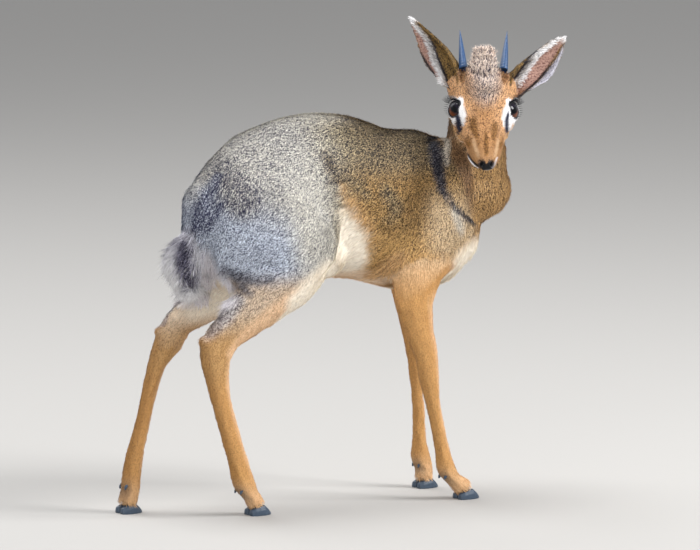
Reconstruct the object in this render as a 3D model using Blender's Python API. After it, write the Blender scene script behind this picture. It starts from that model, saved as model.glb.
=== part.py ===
"""A male Kirk's dik-dik, life size, standing still with its head turned over its right shoulder.

Run with: blender --background --python part.py
Metres, +Z up, +X from rump to chest, +Y to the animal's left, hooves on z = 0.
The origin is under the middle of the bounding box.
The flesh is lofted limb by limb, fused into one skin, then parted by thin cuts into named nodes.
"""

import math

import bmesh
import bpy
import numpy as np
from mathutils import Matrix, Vector
from mathutils.bvhtree import BVHTree

MM = 0.001
RIGHT, LEFT = -1, 1

# ---- Driving dimensions, in millimetres ----
RING_SIDES = 28  # points round a lofted limb
RINGS_PER_SPAN = 5  # rings between two stations
FUSE_VOXEL = 2.2  # fineness at which the lofted limbs fuse
FLESH_TRIANGLES = 4040  # of the fused skin, before it is parted
HEAD_DETAIL, LEG_DETAIL, BODY_DETAIL = 0.5, 0.62, 0.85  # how far each is thinned out
DETAIL_STRENGTH = 0.35
HEAD_REACH = 75  # from the head's middle to where the neck starts
LEG_TOP = 190  # height under which the skin is all legs
CREASE_SMOOTHING = 14  # rounds of smoothing where limbs fuse
CUT_GAP = 0.36  # width of a parting cut
FIT_GAP = 0.3  # clearance of an eye, horn, ear or hoof from the flesh

HEAD_CENTRE = (121.5, -69, 395.5)  # midway between the eyes
HEAD_TURN = -117.5  # degrees from the way the trunk faces
HEAD_NOD = 33  # degrees that the nose points below level
HEAD_TILT = -2  # degrees of lean to its own right

EYE_CENTRE = (1, 23.3, 0.5)  # forward, aside and up from the middle of the head
EYE_RADIUS = 11.9

HORN_BASE = (-20, 18, 23)
HORN_TIP = (-79, 23.5, 40)
HORN_RADII = (6.2, 5.6, 4.4, 2.9, 1.1)
HORN_FLATNESS = 0.92  # its width over its depth
HORN_LEAN = 1.4  # that both tips lean to the head's left

CLAW_LENGTH = 23
CLAW_HALF_WIDTH = 4.9
CLAW_HEIGHT = 12
CLAW_SPREAD = 5.3  # from the middle of the foot to a claw's middle

# ---- Stations: name, x, y, z of the middle, half-width fore and aft, half-width side to side ----
FORELEG_RIGHT = [
    ("shoulder", 100, -27, 296, 44, 20),
    ("upper arm", 80, -36, 266, 40, 21),
    ("elbow", 62, -40, 234, 29, 18),
    ("forearm top", 58, -41, 207, 22, 15.5),
    ("forearm", 63, -41.5, 176, 16, 12.5),
    ("above knee", 71.2, -42, 150, 12.4, 10.5),
    ("knee", 74.2, -42.5, 126, 10.4, 10.5),
    ("below knee", 78.2, -43, 102, 7.6, 7.8),
    ("cannon", 84, -43, 76, 7.1, 7.1),
    ("cannon end", 89.7, -43.5, 50, 7.6, 7.8),
    ("fetlock", 94, -44, 32, 9.2, 10.2),
    ("pastern", 103, -44, 20.5, 7.4, 10),
    ("coronet", 113.5, -44, 12, 9.6, 10.6),
]
FORELEG_LEFT = [
    ("shoulder", 104, 27, 296, 44, 20),
    ("upper arm", 96, 36, 266, 38, 21),
    ("elbow", 94, 39, 234, 26, 18),
    ("forearm top", 99, 39, 207, 19, 15.5),
    ("forearm", 102, 38.5, 176, 14, 12.5),
    ("above knee", 104.8, 38, 150, 10.7, 10),
    ("knee", 108.3, 38, 124, 9.2, 9.5),
    ("below knee", 108.1, 38, 102, 6.4, 6.8),
    ("cannon", 110.3, 38, 76, 6.4, 6.8),
    ("cannon end", 110.9, 38, 50, 7, 7.6),
    ("fetlock", 112.4, 38, 32, 9.7, 10.2),
    ("pastern", 116, 38, 21, 9, 10),
    ("coronet", 116.5, 38, 11, 9.2, 10.6),
]
HINDLEG_RIGHT = [
    ("hip", -98, -28, 308, 46, 24),
    ("thigh", -94, -42, 284, 54, 25),
    ("stifle", -89, -46, 253, 44, 22),
    ("gaskin top", -112, -45, 226, 33, 18),
    ("gaskin", -138.5, -43.5, 201, 22.5, 14.5),
    ("above hock", -161, -42, 182.5, 18.5, 11.5),
    ("hock", -169, -41, 168, 18, 11),
    ("below hock", -167.8, -40, 146, 12.8, 10),
    ("cannon top", -162.8, -38, 122, 10.6, 8.6),
    ("cannon", -150.6, -35, 86, 9.9, 8),
    ("cannon end", -138.8, -32, 52, 10.4, 8.8),
    ("fetlock", -131.8, -30, 33, 11, 10.2),
    ("pastern", -124, -29, 21, 8.4, 10),
    ("coronet", -118, -28, 12, 9.2, 10.6),
]
HINDLEG_LEFT = [
    ("hip", -98, 28, 308, 46, 24),
    ("thigh", -94, 42, 284, 54, 25),
    ("stifle", -88, 46, 252, 46, 22),
    ("gaskin top", -110, 45.5, 226, 32, 18),
    ("gaskin", -139, 45, 204, 21, 14.5),
    ("above hock", -164, 45, 187, 15.5, 11.5),
    ("hock", -176, 45, 170, 15.2, 11),
    ("below hock", -188.8, 45.5, 148, 9.3, 9.4),
    ("cannon top", -197, 46, 122, 7.8, 7.8),
    ("cannon", -206, 46, 86, 7.5, 7.4),
    ("cannon end", -215.5, 46, 52, 9.2, 8.2),
    ("fetlock", -218.5, 46, 34, 9.4, 9.8),
    ("pastern", -219.5, 46, 22, 9.2, 10),
    ("coronet", -222.5, 46, 11, 9.8, 10.6),
]
TAIL = [
    ("root", -155, 0, 299, 13, 16),
    ("dock", -170, 2, 276, 17, 20),
    ("brush", -181, 3, 252, 19, 23),
    ("end", -174, 4, 230, 11, 14),
]
NECK = [
    ("withers", 84, 0, 300, 62, 42),
    ("base", 122, 0, 306, 50, 38),
    ("bend", 145, -6, 328, 38, 32),
    ("throat", 143, -18, 360, 30, 27),
    ("nape", 136, -33, 391, 27, 25),
]
# x, back, belly, half-width
TRUNK = [
    ("rump end", -163.5, 335, 262, 28.5),
    ("buttock", -150, 350, 247, 42),
    ("croup", -123, 374, 238, 48),
    ("hip", -92, 386, 234, 52),
    ("loin", -45, 395, 231, 54),
    ("back", 5, 390.5, 227, 57),
    ("ribs", 50, 375, 215, 55),
    ("withers", 90, 370.5, 211, 46),
    ("shoulder", 121, 353, 220, 38),
    ("breast", 136.5, 314, 235, 29),
]
# forward from the eyes, half-width, top, bottom, all along the tilted head
HEAD = [
    ("occiput", -50, 14, 14, -10),
    ("poll", -43, 23, 23, -22),
    ("crown", -30, 28.5, 30, -31),
    ("forehead", -14, 29.5, 30.5, -34),
    ("brow", 2, 28, 24, -33.5),
    ("cheek", 18, 24, 15.5, -32),
    ("bridge", 36, 19.5, 8.5, -29),
    ("snout", 54, 15.6, 2.6, -26),
    ("lips", 67, 11.5, -1.6, -21.5),
    ("nose", 75, 7.8, -4, -16),
]
# Muscles on each side of the body: middle, half-lengths
BODY_BULGES = {
    "haunch": ((-99, 30, 284), (68, 34, 68)),
    "shoulder blade": ((88, 25, 300), (42, 25, 70)),
    "flank fold": ((-48, 34, 262), (32, 22, 30)),
}
SHOULDER_SLOPE = 24  # degrees that the shoulder blade leans forward
BRISKET = ((147, -6, 310.5), (41, 34, 34.5))
# the same along the head
HEAD_BULGES = {
    "eye socket": ((3, 19, -2), (20, 14, 19)),
    "cheek muscle": ((-6, 17, -22), (24, 11, 15)),
    "ear root": ((-32, 25, 3), (14, 10, 13)),
    "horn foot": ((-28, 19, 23), (8.5, 7, 8)),
}
# heel bone of each hock, from the hock's middle: forward, up, half-depth, half-width
HOCK_POINTS = [
    (HINDLEG_RIGHT, [(10, -6, 9, 8), (-7.5, 7, 9, 7), (-14.5, 14, 7, 6)]),
    (HINDLEG_LEFT, [(10, -6, 9, 8), (-6, 6, 9, 7), (-9.5, 13, 7, 6)]),
]
# dewclaw, from the back of the fetlock: forward, aside, up, half-depth, half-width
DEWCLAW = [(6.5, 5.2, -5, 2.6, 3.0), (4.2, 5.6, -8, 2.2, 2.6), (3.4, 5.8, -10.5, 1.3, 1.5)]
DEWCLAW_BACK = {"hindfoot_left": 4.2}  # that a foot's dewclaws stand further back
# crest of long hair between the horns: forward, aside, up, half-depth, half-width
CREST = [
    ("root", -9, -1, 22, 18, 18),
    ("middle", -20, -1.5, 33, 16, 17.5),
    ("top", -28, -2, 43.5, 12, 15.5),
    ("tips", -31, -2.5, 51.5, 7, 11.5),
]
# along each ear: share of its length, bow of its middle, radius of the curl, half of its arc in degrees
EAR_RIGHT_SHAPE = [
    (0.00, 0.2, 9.9, 150),
    (0.13, 0.8, 10.7, 122),
    (0.27, 0.4, 12.6, 100),
    (0.43, -1.2, 14.4, 82),
    (0.60, -1.8, 12.4, 68),
    (0.76, -1.8, 8.9, 54),
    (0.90, -1.0, 5.8, 42),
    (1.00, 0.0, 1.4, 36),
]
EAR_LEFT_SHAPE = [
    (0.00, -4.0, 11.1, 150),
    (0.13, -3.7, 11.6, 122),
    (0.27, -1.9, 13.4, 100),
    (0.43, 1.3, 15.3, 82),
    (0.60, 2.5, 14.7, 68),
    (0.76, 2.4, 12.2, 54),
    (0.90, 1.2, 7.7, 42),
    (1.00, 0.0, 1.6, 36),
]
EAR_THICKNESS = 2.4
EAR_STEPS = 8  # strips round the curl
# root, tip and the way the opening faces, all along the head
EAR_RIGHT = ((-36.4, -20.2, 5.3), (-89, -72, 48.3), (0.735, -0.567, 0.36))
EAR_LEFT = ((-36, 29, -2), (-72, 83.5, 41), (0.87, 0.233, 0.432))

# where each foot stands
FEET = {
    "forefoot_right": (116.5, -44),
    "forefoot_left": (117, 38),
    "hindfoot_right": (-116, -28),
    "hindfoot_left": (-222, 46),
}
LEGS = {
    "forefoot_right": FORELEG_RIGHT,
    "forefoot_left": FORELEG_LEFT,
    "hindfoot_right": HINDLEG_RIGHT,
    "hindfoot_left": HINDLEG_LEFT,
}
# along a claw: share of its length, shares of its half-width and height, shift towards the other claw
CLAW_SHAPE = [
    (-0.42, 0.72, 0.80, 0.00),
    (-0.25, 0.97, 0.95, 0.00),
    (0.00, 1.00, 1.00, 0.00),
    (0.22, 0.92, 0.86, 0.05),
    (0.42, 0.66, 0.50, 0.14),
    (0.54, 0.34, 0.24, 0.26),
]
# round a claw: shares of its half-width and height, with a flat sole
CLAW_SECTION = [(-1, 0), (-0.92, 0.5), (-0.6, 0.9), (0, 1), (0.6, 0.9), (0.92, 0.5), (1, 0), (0, 0)]

# ---- Parting cuts: middle, the way it faces, radius ----
CUTS = {
    "neck_base": ((118, 0, 311), (0.92, 0, 0.39), 83),
    "tail_root": ((-168.5, 2, 261), (-0.94, 0, -0.34), 46),
    "shoulder_right": ((69, -40, 236), (0, -0.67, -0.74), 48),
    "shoulder_left": ((90, 39, 236), (0, 0.67, -0.74), 48),
    "thigh_right": ((-93, -42, 256), (-0.126, -0.65, -0.76), 77),
    "thigh_left": ((-93, 42, 256), (-0.126, 0.65, -0.76), 77),
    "knee_right": ((75, -42.5, 124), (0.2, 0, -1), 20),
    "knee_left": ((108, 38, 124), (0.03, 0, -1), 20),
    "hock_right": ((-171, -41, 164), (0.3, 0, -1), 26),
    "hock_left": ((-178, 45, 164), (-0.25, 0, -1), 26),
    "fetlock_fore_right": ((94.5, -44, 37), (0.25, 0, -1), 18),
    "fetlock_fore_left": ((111.5, 38, 37), (0, 0, -1), 18),
    "fetlock_hind_right": ((-131.5, -30, 38), (0.28, 0, -1), 18),
    "fetlock_hind_left": ((-218, 46, 38), (-0.2, 0, -1), 18),
}
# the same along the head
HEAD_CUTS = {
    "head": ((-32, 0, -15), (0.74, 0, 0.67), 52),
    "crest": ((-20, 0, 36), (-0.3, 0, 0.95), 25),
    "nose": ((70.5, 0, -9), (0.93, 0, 0.36), 16),
}
# a point inside each piece of flesh
PIECES = {
    "trunk": (0, 0, 300),
    "neck": (147, -12, 345),
    "tail": (-182, 4, 250),
    "foreleg_right": (62, -41, 180),
    "foreleg_left": (101, 38, 180),
    "hindleg_right": (-140, -43, 205),
    "hindleg_left": (-140, 45, 205),
    "fore_cannon_right": (86, -43, 76),
    "fore_cannon_left": (109, 38, 76),
    "hind_cannon_right": (-147, -35, 86),
    "hind_cannon_left": (-205, 46, 86),
    "fore_pastern_right": (100, -44, 25),
    "fore_pastern_left": (113, 38, 25),
    "hind_pastern_right": (-126, -30, 25),
    "hind_pastern_left": (-220, 46, 25),
}
HEAD_PIECES = {"head": (0, 0, 0), "crest": (-24, 0, 42), "nose": (75, 0, -9)}

# ---- Materials: colour, roughness, then the nodes whose names start with these words ----
MATERIALS = {
    "grizzled_coat": ((0.30, 0.24, 0.17), 0.85, ("trunk", "neck", "tail")),
    "tan_coat": ((0.47, 0.29, 0.14), 0.8, ("foreleg", "hindleg", "fore_", "hind_", "head", "crest", "ear")),
    "nose_skin": ((0.02, 0.02, 0.022), 0.4, ("nose",)),
    "horn": ((0.045, 0.055, 0.07), 0.45, ("horn",)),
    "hoof": ((0.06, 0.07, 0.085), 0.5, ("forefoot", "hindfoot")),
    "eye": ((0.03, 0.015, 0.008), 0.08, ("eye",)),
}


def spread(stations):
    """Stations as rows of numbers, with smooth rows added between them."""
    rows = np.array([s[1:] for s in stations], float)
    gaps = np.linalg.norm(np.diff(rows[:, :3], axis=0), axis=1)
    at = np.concatenate([[0], np.cumsum(gaps)])
    slope = np.gradient(rows, at, axis=0)
    fine = []
    for i in range(len(rows) - 1):
        h = at[i + 1] - at[i]
        for t in np.arange(RINGS_PER_SPAN) / RINGS_PER_SPAN:
            a = (1 + 2 * t) * (1 - t) ** 2
            b = t * (1 - t) ** 2 * h
            c = t * t * (3 - 2 * t)
            d = t * t * (t - 1) * h
            fine.append(a * rows[i] + b * slope[i] + c * rows[i + 1] + d * slope[i + 1])
    fine.append(rows[-1])
    return np.array(fine)


def closed_tube(bm, rings, start, end):
    """Adds a closed tube through rings of points, with a point at each end."""
    loops = [[bm.verts.new(p) for p in ring] for ring in rings]
    first, last = bm.verts.new(start), bm.verts.new(end)
    sides = len(loops[0])
    made = []
    for a, b in zip(loops, loops[1:]):
        for k in range(sides):
            n = (k + 1) % sides
            made.append(bm.faces.new((a[k], a[n], b[n], b[k])))
    for k in range(sides):
        n = (k + 1) % sides
        made.append(bm.faces.new((loops[0][n], loops[0][k], first)))
        made.append(bm.faces.new((loops[-1][k], loops[-1][n], last)))
    bmesh.ops.recalc_face_normals(bm, faces=made)


def loft(bm, path, deep, wide, place=Matrix(), dome=0.55, sides=RING_SIDES, upright=False):
    """Adds a limb round path, with a half-depth and half-width at each point and rounded ends.

    Its rings stand square to the path or, if upright, square to the X axis.
    """
    path = np.array(path, float) * MM
    deep = np.array(deep, float) * MM
    wide = np.array(wide, float) * MM
    along = np.gradient(path, axis=0)
    if upright:
        along[:] = (1, 0, 0)
    along /= np.linalg.norm(along, axis=1)[:, None]
    across = np.array([0, 1, 0]) - along * along[:, 1:2]
    across /= np.linalg.norm(across, axis=1)[:, None]
    front = np.cross(across, along)
    turn = np.linspace(0, 2 * math.pi, sides, endpoint=False)

    def ring(i, shrink=1.0, shift=0.0):
        middle = path[i] + along[i] * shift
        aside = across[i] * wide[i] * shrink
        fore = front[i] * deep[i] * shrink
        return [place @ Vector(middle + aside * math.cos(a) + fore * math.sin(a)) for a in turn]

    reach = dome * min(deep[0], wide[0]), dome * min(deep[-1], wide[-1])
    steps = [math.radians(a) for a in (60, 30)]
    rings = [ring(0, math.cos(s), -reach[0] * math.sin(s)) for s in steps]
    rings += [ring(i) for i in range(len(path))]
    rings += [ring(-1, math.cos(s), reach[1] * math.sin(s)) for s in reversed(steps)]
    start = place @ Vector(path[0] - along[0] * reach[0])
    end = place @ Vector(path[-1] + along[-1] * reach[1])
    closed_tube(bm, rings, start, end)


def ball(bm, centre, radii, place=Matrix(), turn=Matrix(), segments=24):
    """Adds an ellipsoid."""
    size = Matrix.Diagonal(Vector((*radii, 1000)) * MM)
    matrix = place @ Matrix.Translation(Vector(centre) * MM) @ turn @ size
    bmesh.ops.create_uvsphere(bm, u_segments=segments, v_segments=segments // 2, radius=1, matrix=matrix)


def head_place():
    """The head's own axes: +X towards the nose, +Y to its left, +Z out of its crown."""
    turn = Matrix.Rotation(math.radians(HEAD_TURN), 4, "Z")
    nod = Matrix.Rotation(math.radians(HEAD_NOD), 4, "Y")
    tilt = Matrix.Rotation(math.radians(HEAD_TILT), 4, "X")
    return Matrix.Translation(Vector(HEAD_CENTRE) * MM) @ turn @ nod @ tilt


# ---- Flesh ----
def add_trunk(bm):
    stations = [(n, x, 0, (back + belly) / 2, (back - belly) / 2, wide) for n, x, back, belly, wide in TRUNK]
    rows = spread(stations)
    loft(bm, rows[:, :3], rows[:, 3], rows[:, 4], upright=True)
    for name, ((x, y, z), radii) in BODY_BULGES.items():
        lean = SHOULDER_SLOPE if name == "shoulder blade" else 0
        for side in (RIGHT, LEFT):
            ball(bm, (x, side * y, z), radii, turn=Matrix.Rotation(math.radians(lean), 4, "Y"))
    ball(bm, *BRISKET)


def add_limb(bm, stations, dome=0.55):
    rows = spread(stations)
    loft(bm, rows[:, :3], rows[:, 3], rows[:, 4], dome=dome)


def add_hock_points(bm):
    """The heel bone that stands out behind each hock."""
    for stations, rows in HOCK_POINTS:
        _, x, y, z = next(s for s in stations if s[0] == "hock")[:4]
        path = [(x + forward, y, z + up) for forward, up, _, _ in rows]
        loft(bm, path, [row[2] for row in rows], [row[3] for row in rows])


def add_neck(bm):
    rows = spread(NECK)
    loft(bm, rows[:, :3], rows[:, 3], rows[:, 4])


def add_head(bm):
    place = head_place()
    stations = [(n, f, 0, (top + low) / 2, (top - low) / 2, wide) for n, f, wide, top, low in HEAD]
    rows = spread(stations)
    loft(bm, rows[:, :3], rows[:, 3], rows[:, 4], place=place, upright=True)
    for (f, aside, up), radii in HEAD_BULGES.values():
        for side in (RIGHT, LEFT):
            ball(bm, (f, side * aside, up), radii, place)
    rows = spread(CREST)
    loft(bm, rows[:, :3], rows[:, 3], rows[:, 4], place=place)


def take_mesh(obj):
    """Applies the object's modifiers."""
    graph = bpy.context.evaluated_depsgraph_get()
    mesh = bpy.data.meshes.new_from_object(obj.evaluated_get(graph))
    obj.modifiers.clear()
    obj.data = mesh


def new_object(name, bm):
    mesh = bpy.data.meshes.new(name)
    bm.to_mesh(mesh)
    bm.free()
    obj = bpy.data.objects.new(name, mesh)
    bpy.context.scene.collection.objects.link(obj)
    return obj


def relax(mesh, rounds, inward=0.5, outward=-0.52):
    """Smooths the creases where limbs fuse. Each second pass swells the mesh back to its size."""
    count = len(mesh.vertices)
    at = np.empty(count * 3, np.float32)
    mesh.vertices.foreach_get("co", at)
    at = at.reshape(-1, 3).astype(float)
    ends = np.empty(len(mesh.edges) * 2, np.int32)
    mesh.edges.foreach_get("vertices", ends)
    a, b = ends.reshape(-1, 2).T
    degree = np.bincount(np.concatenate([a, b]), minlength=count)[:, None]
    for _ in range(rounds):
        for amount in (inward, outward):
            total = np.zeros_like(at)
            for k in range(3):
                total[:, k] = np.bincount(a, at[b, k], count) + np.bincount(b, at[a, k], count)
            at += amount * (total / degree - at)
    mesh.vertices.foreach_set("co", at.astype(np.float32).ravel())
    mesh.update()


def fuse_flesh():
    """One closed skin from all the limbs, with small triangles on the head and larger ones elsewhere."""
    bm = bmesh.new()
    add_trunk(bm)
    add_neck(bm)
    add_head(bm)
    for stations in (FORELEG_RIGHT, FORELEG_LEFT, HINDLEG_RIGHT, HINDLEG_LEFT):
        add_limb(bm, stations, dome=0.3)
    add_limb(bm, TAIL)
    add_hock_points(bm)
    body = new_object("flesh", bm)
    remesh = body.modifiers.new("fuse", "REMESH")
    remesh.mode = "VOXEL"
    remesh.voxel_size = FUSE_VOXEL * MM
    take_mesh(body)
    relax(body.data, CREASE_SMOOTHING)

    coarse = body.vertex_groups.new(name="coarse")
    middle = Vector(HEAD_CENTRE) * MM
    for v in body.data.vertices:
        weight = BODY_DETAIL
        if v.co.z < LEG_TOP * MM:
            weight = LEG_DETAIL
        if (v.co - middle).length < HEAD_REACH * MM:
            weight = HEAD_DETAIL
        coarse.add([v.index], weight, "REPLACE")
    thin = body.modifiers.new("thin out", "DECIMATE")
    thin.ratio = FLESH_TRIANGLES / (2 * len(body.data.polygons))
    thin.vertex_group = coarse.name
    thin.vertex_group_factor = DETAIL_STRENGTH
    take_mesh(body)
    return body


# ---- Eyes, horns, ears and hooves ----
def add_eye(name, side):
    bm = bmesh.new()
    f, aside, up = EYE_CENTRE
    ball(bm, (f, side * aside, up), (EYE_RADIUS,) * 3, head_place(), segments=14)
    return new_object(name, bm)


def add_horn(name, side):
    """A straight spike, a little flattened, sloping back from the brow."""
    bm = bmesh.new()
    base = Vector((HORN_BASE[0], side * HORN_BASE[1], HORN_BASE[2]))
    tip = Vector((HORN_TIP[0], side * HORN_TIP[1] + HORN_LEAN, HORN_TIP[2]))
    path = [base.lerp(tip, k / (len(HORN_RADII) - 1)) for k in range(len(HORN_RADII))]
    wide = [r * HORN_FLATNESS for r in HORN_RADII]
    loft(bm, path, HORN_RADII, wide, place=head_place(), dome=0.9, sides=8)
    return new_object(name, bm)


def add_ear(name, ear, shape):
    """A leaf curled round its length: a tube at the root, opening to a shallow cup at the tip."""
    base, tip, facing = (Vector(v) for v in ear)
    along = (tip - base).normalized()
    out = (facing - along * facing.dot(along)).normalized()
    across = along.cross(out)
    place = head_place()
    bm = bmesh.new()
    steps = EAR_STEPS
    sheets = {}
    for layer, grow in (("outer", EAR_THICKNESS / 2), ("inner", -EAR_THICKNESS / 2)):
        rows = []
        for share, bow, radius, arc in shape:
            middle = base.lerp(tip, share) + out * 2
            thick = grow * min(1, 0.35 + (1 - share) * 2.2)
            reach = math.radians(arc)
            lip = thick / radius if share < 1 else 0
            row = []
            for k in range(steps + 1):
                a = (2 * k / steps - 1) * (reach + lip * 0.5)
                r = radius + thick
                aside = r * math.sin(a) + bow
                depth = radius * 0.5 - r * math.cos(a)
                row.append(bm.verts.new(place @ ((middle + across * aside + out * depth) * MM)))
            rows.append(row)
        sheets[layer] = rows
    outer, inner = sheets["outer"], sheets["inner"]
    strips = list(zip(outer, outer[1:])) + list(zip(inner, inner[1:]))  # the two skins
    strips += [(outer[0], inner[0]), (outer[-1], inner[-1])]  # root and tip
    for k in (0, steps):
        strips.append(([row[k] for row in outer], [row[k] for row in inner]))  # a lip
    faces = []
    for a, b in strips:
        for k in range(len(a) - 1):
            faces.append(bm.faces.new((a[k], a[k + 1], b[k + 1], b[k])))
    bmesh.ops.recalc_face_normals(bm, faces=faces)
    return new_object(name, bm)


def add_claw(name, foot, side):
    """Half of a cloven hoof: a flat sole, a steep outer wall and a pointed toe that turns in."""
    x, y = FEET[foot]

    def point(share, wide, high, shift, across, up):
        middle = y + side * (CLAW_SPREAD - shift * CLAW_HALF_WIDTH)
        half = wide * CLAW_HALF_WIDTH
        return Vector((x + share * CLAW_LENGTH, middle + half * across, high * CLAW_HEIGHT * up)) * MM

    rings = [[point(*row, across, up) for across, up in CLAW_SECTION] for row in CLAW_SHAPE]
    heel, toe = CLAW_SHAPE[0], CLAW_SHAPE[-1]
    back = point(heel[0] - 0.05, *heel[1:], 0, 0.35)
    front = point(toe[0] + 0.05, *toe[1:], 0, 0.35)
    bm = bmesh.new()
    closed_tube(bm, rings, back, front)
    return new_object(name, bm)


def add_dewclaw(name, foot, side):
    """A small horny knob behind the fetlock."""
    _, x, y, z, deep, _ = next(s for s in LEGS[foot] if s[0] == "fetlock")
    x -= deep + DEWCLAW_BACK.get(foot, 0)
    path = [(x + forward, y + side * aside, z + up) for forward, aside, up, _, _ in DEWCLAW]
    bm = bmesh.new()
    loft(bm, path, [row[3] for row in DEWCLAW], [row[4] for row in DEWCLAW], dome=0.8, sides=6)
    return new_object(name, bm)


# ---- Parting ----
def grown(obj, by):
    """A copy of the object's mesh, moved out along its normals."""
    mesh = obj.data.copy()
    normals = [v.normal.copy() for v in mesh.vertices]
    for v, n in zip(mesh.vertices, normals):
        v.co += n * by * MM
    copy = bpy.data.objects.new(obj.name + "_cutter", mesh)
    bpy.context.scene.collection.objects.link(copy)
    return copy


def trim_to(obj, mass):
    """Takes the mass out of the object and keeps the largest piece that is left."""
    cut(obj, [mass])
    pieces = sorted(loose_pieces(obj), key=lambda p: p.calc_volume())
    pieces[-1].to_mesh(obj.data)
    for piece in pieces:
        piece.free()


def cut(body, cutters):
    """Takes the cutters' shapes out of the body and removes them."""
    for cutter in cutters:
        cutter.hide_render = True
        cutter.display_type = "WIRE"
        modifier = body.modifiers.new(cutter.name, "BOOLEAN")
        modifier.operation = "DIFFERENCE"
        modifier.solver = "EXACT"
        modifier.object = cutter
    take_mesh(body)
    for cutter in cutters:
        bpy.data.objects.remove(cutter)


def disc(name, middle, facing, radius, place=Matrix()):
    bm = bmesh.new()
    turn = Vector(facing).to_track_quat("Z", "Y").to_matrix().to_4x4()
    where = place @ Matrix.Translation(Vector(middle) * MM) @ turn
    size = {"radius1": radius * MM, "radius2": radius * MM, "depth": CUT_GAP * MM}
    bmesh.ops.create_cone(bm, cap_ends=True, segments=20, matrix=where, **size)
    return new_object(name, bm)


def part_flesh(body):
    """Cuts the skin at the joints and gives each piece its name."""
    place = head_place()
    discs = [disc(name, *c) for name, c in CUTS.items()]
    discs += [disc(name, *c, place) for name, c in HEAD_CUTS.items()]
    cut(body, discs)
    spots = {name: Vector(p) * MM for name, p in PIECES.items()}
    spots.update({name: place @ (Vector(p) * MM) for name, p in HEAD_PIECES.items()})
    pieces = loose_pieces(body)
    made = []
    for name, spot in spots.items():
        inside = [p for p in pieces if holds(p, spot)]
        if len(inside) != 1:
            raise RuntimeError(f"{name} is in {len(inside)} pieces of flesh")
        pieces.remove(inside[0])
        made.append(new_object(name, inside[0]))
    for scrap in pieces:
        scrap.free()
    bpy.data.objects.remove(body)
    return made


def loose_pieces(body):
    """The body's separate closed surfaces, each as its own bmesh."""
    bm = bmesh.new()
    bm.from_mesh(body.data)
    found = []
    left = set(bm.verts)
    while left:
        start = left.pop()
        group, reach = {start}, [start]
        while reach:
            v = reach.pop()
            for e in v.link_edges:
                other = e.other_vert(v)
                if other in left:
                    left.discard(other)
                    group.add(other)
                    reach.append(other)
        index = {v.index for v in group}
        piece = bm.copy()
        piece.verts.ensure_lookup_table()
        bmesh.ops.delete(piece, geom=[v for v in piece.verts if v.index not in index], context="VERTS")
        found.append(piece)
    bm.free()
    return found


def holds(piece, spot):
    """True where the spot is inside the closed piece."""
    tree = BVHTree.FromBMesh(piece)
    hits, at = 0, spot.copy()
    way = Vector((0.0137, 0.0211, 1)).normalized()
    while True:
        found, _, _, _ = tree.ray_cast(at, way)
        if found is None:
            return hits % 2 == 1
        hits += 1
        at = found + way * 1e-6


# ---- Finish ----
def add_materials(objects):
    for name, (colour, roughness, words) in MATERIALS.items():
        material = bpy.data.materials.new(name)
        material.use_nodes = True
        shader = material.node_tree.nodes["Principled BSDF"]
        shader.inputs["Base Color"].default_value = (*colour, 1)
        shader.inputs["Roughness"].default_value = roughness
        shader.inputs["Metallic"].default_value = 0
        for obj in objects:
            if obj.name.startswith(words):
                obj.data.materials.clear()
                obj.data.materials.append(material)


def centre(objects):
    """Parents everything to an empty that sets the middle of the bounding box over the origin."""
    corners = [v.co for obj in objects for v in obj.data.vertices]
    low, high = (Vector([pick(c[k] for c in corners) for k in range(3)]) for pick in (min, max))
    stance = bpy.data.objects.new("dik_dik", None)
    bpy.context.scene.collection.objects.link(stance)
    stance.location = (-(low.x + high.x) / 2, -(low.y + high.y) / 2, -low.z)
    for obj in objects:
        obj.parent = stance


def main():
    for obj in list(bpy.data.objects):
        bpy.data.objects.remove(obj)
    body = fuse_flesh()
    set_in, set_on = [], []
    for word, side in (("right", RIGHT), ("left", LEFT)):
        set_in.append(add_eye("eye_" + word, side))
        set_in.append(add_horn("horn_" + word, side))
    set_on.append(add_ear("ear_right", EAR_RIGHT, EAR_RIGHT_SHAPE))
    set_on.append(add_ear("ear_left", EAR_LEFT, EAR_LEFT_SHAPE))
    for foot in FEET:
        for word, side in (("right", RIGHT), ("left", LEFT)):
            set_in.append(add_claw(f"{foot}_claw_{word}", foot, side))
            set_on.append(add_dewclaw(f"{foot}_dewclaw_{word}", foot, side))
    for obj in set_on:
        trim_to(obj, grown(body, FIT_GAP))
    cut(body, [grown(obj, FIT_GAP) for obj in set_in])
    objects = part_flesh(body) + set_in + set_on
    for obj in objects:
        obj.data.shade_smooth()
    add_materials(objects)
    centre(objects)


main()
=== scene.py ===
import math

import bmesh
import bpy
import numpy as np
from mathutils import Matrix, Vector
from mathutils.bvhtree import BVHTree


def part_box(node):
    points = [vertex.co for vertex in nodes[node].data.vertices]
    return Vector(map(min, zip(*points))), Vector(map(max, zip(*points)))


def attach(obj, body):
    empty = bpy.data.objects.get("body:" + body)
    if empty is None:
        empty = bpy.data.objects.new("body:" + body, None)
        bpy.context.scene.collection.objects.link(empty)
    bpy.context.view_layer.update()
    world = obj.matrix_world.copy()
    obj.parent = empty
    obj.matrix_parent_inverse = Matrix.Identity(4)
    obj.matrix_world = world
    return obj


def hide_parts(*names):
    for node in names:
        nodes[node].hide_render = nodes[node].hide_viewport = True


# A male dik-dik, life size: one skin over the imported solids, a coat of tufts on the skin,
# and horns, eyes, hooves and lashes as pieces of their own. The scene is in metres. Places and
# lengths on the animal are written in mm, and mm makes metres of them.

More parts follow.
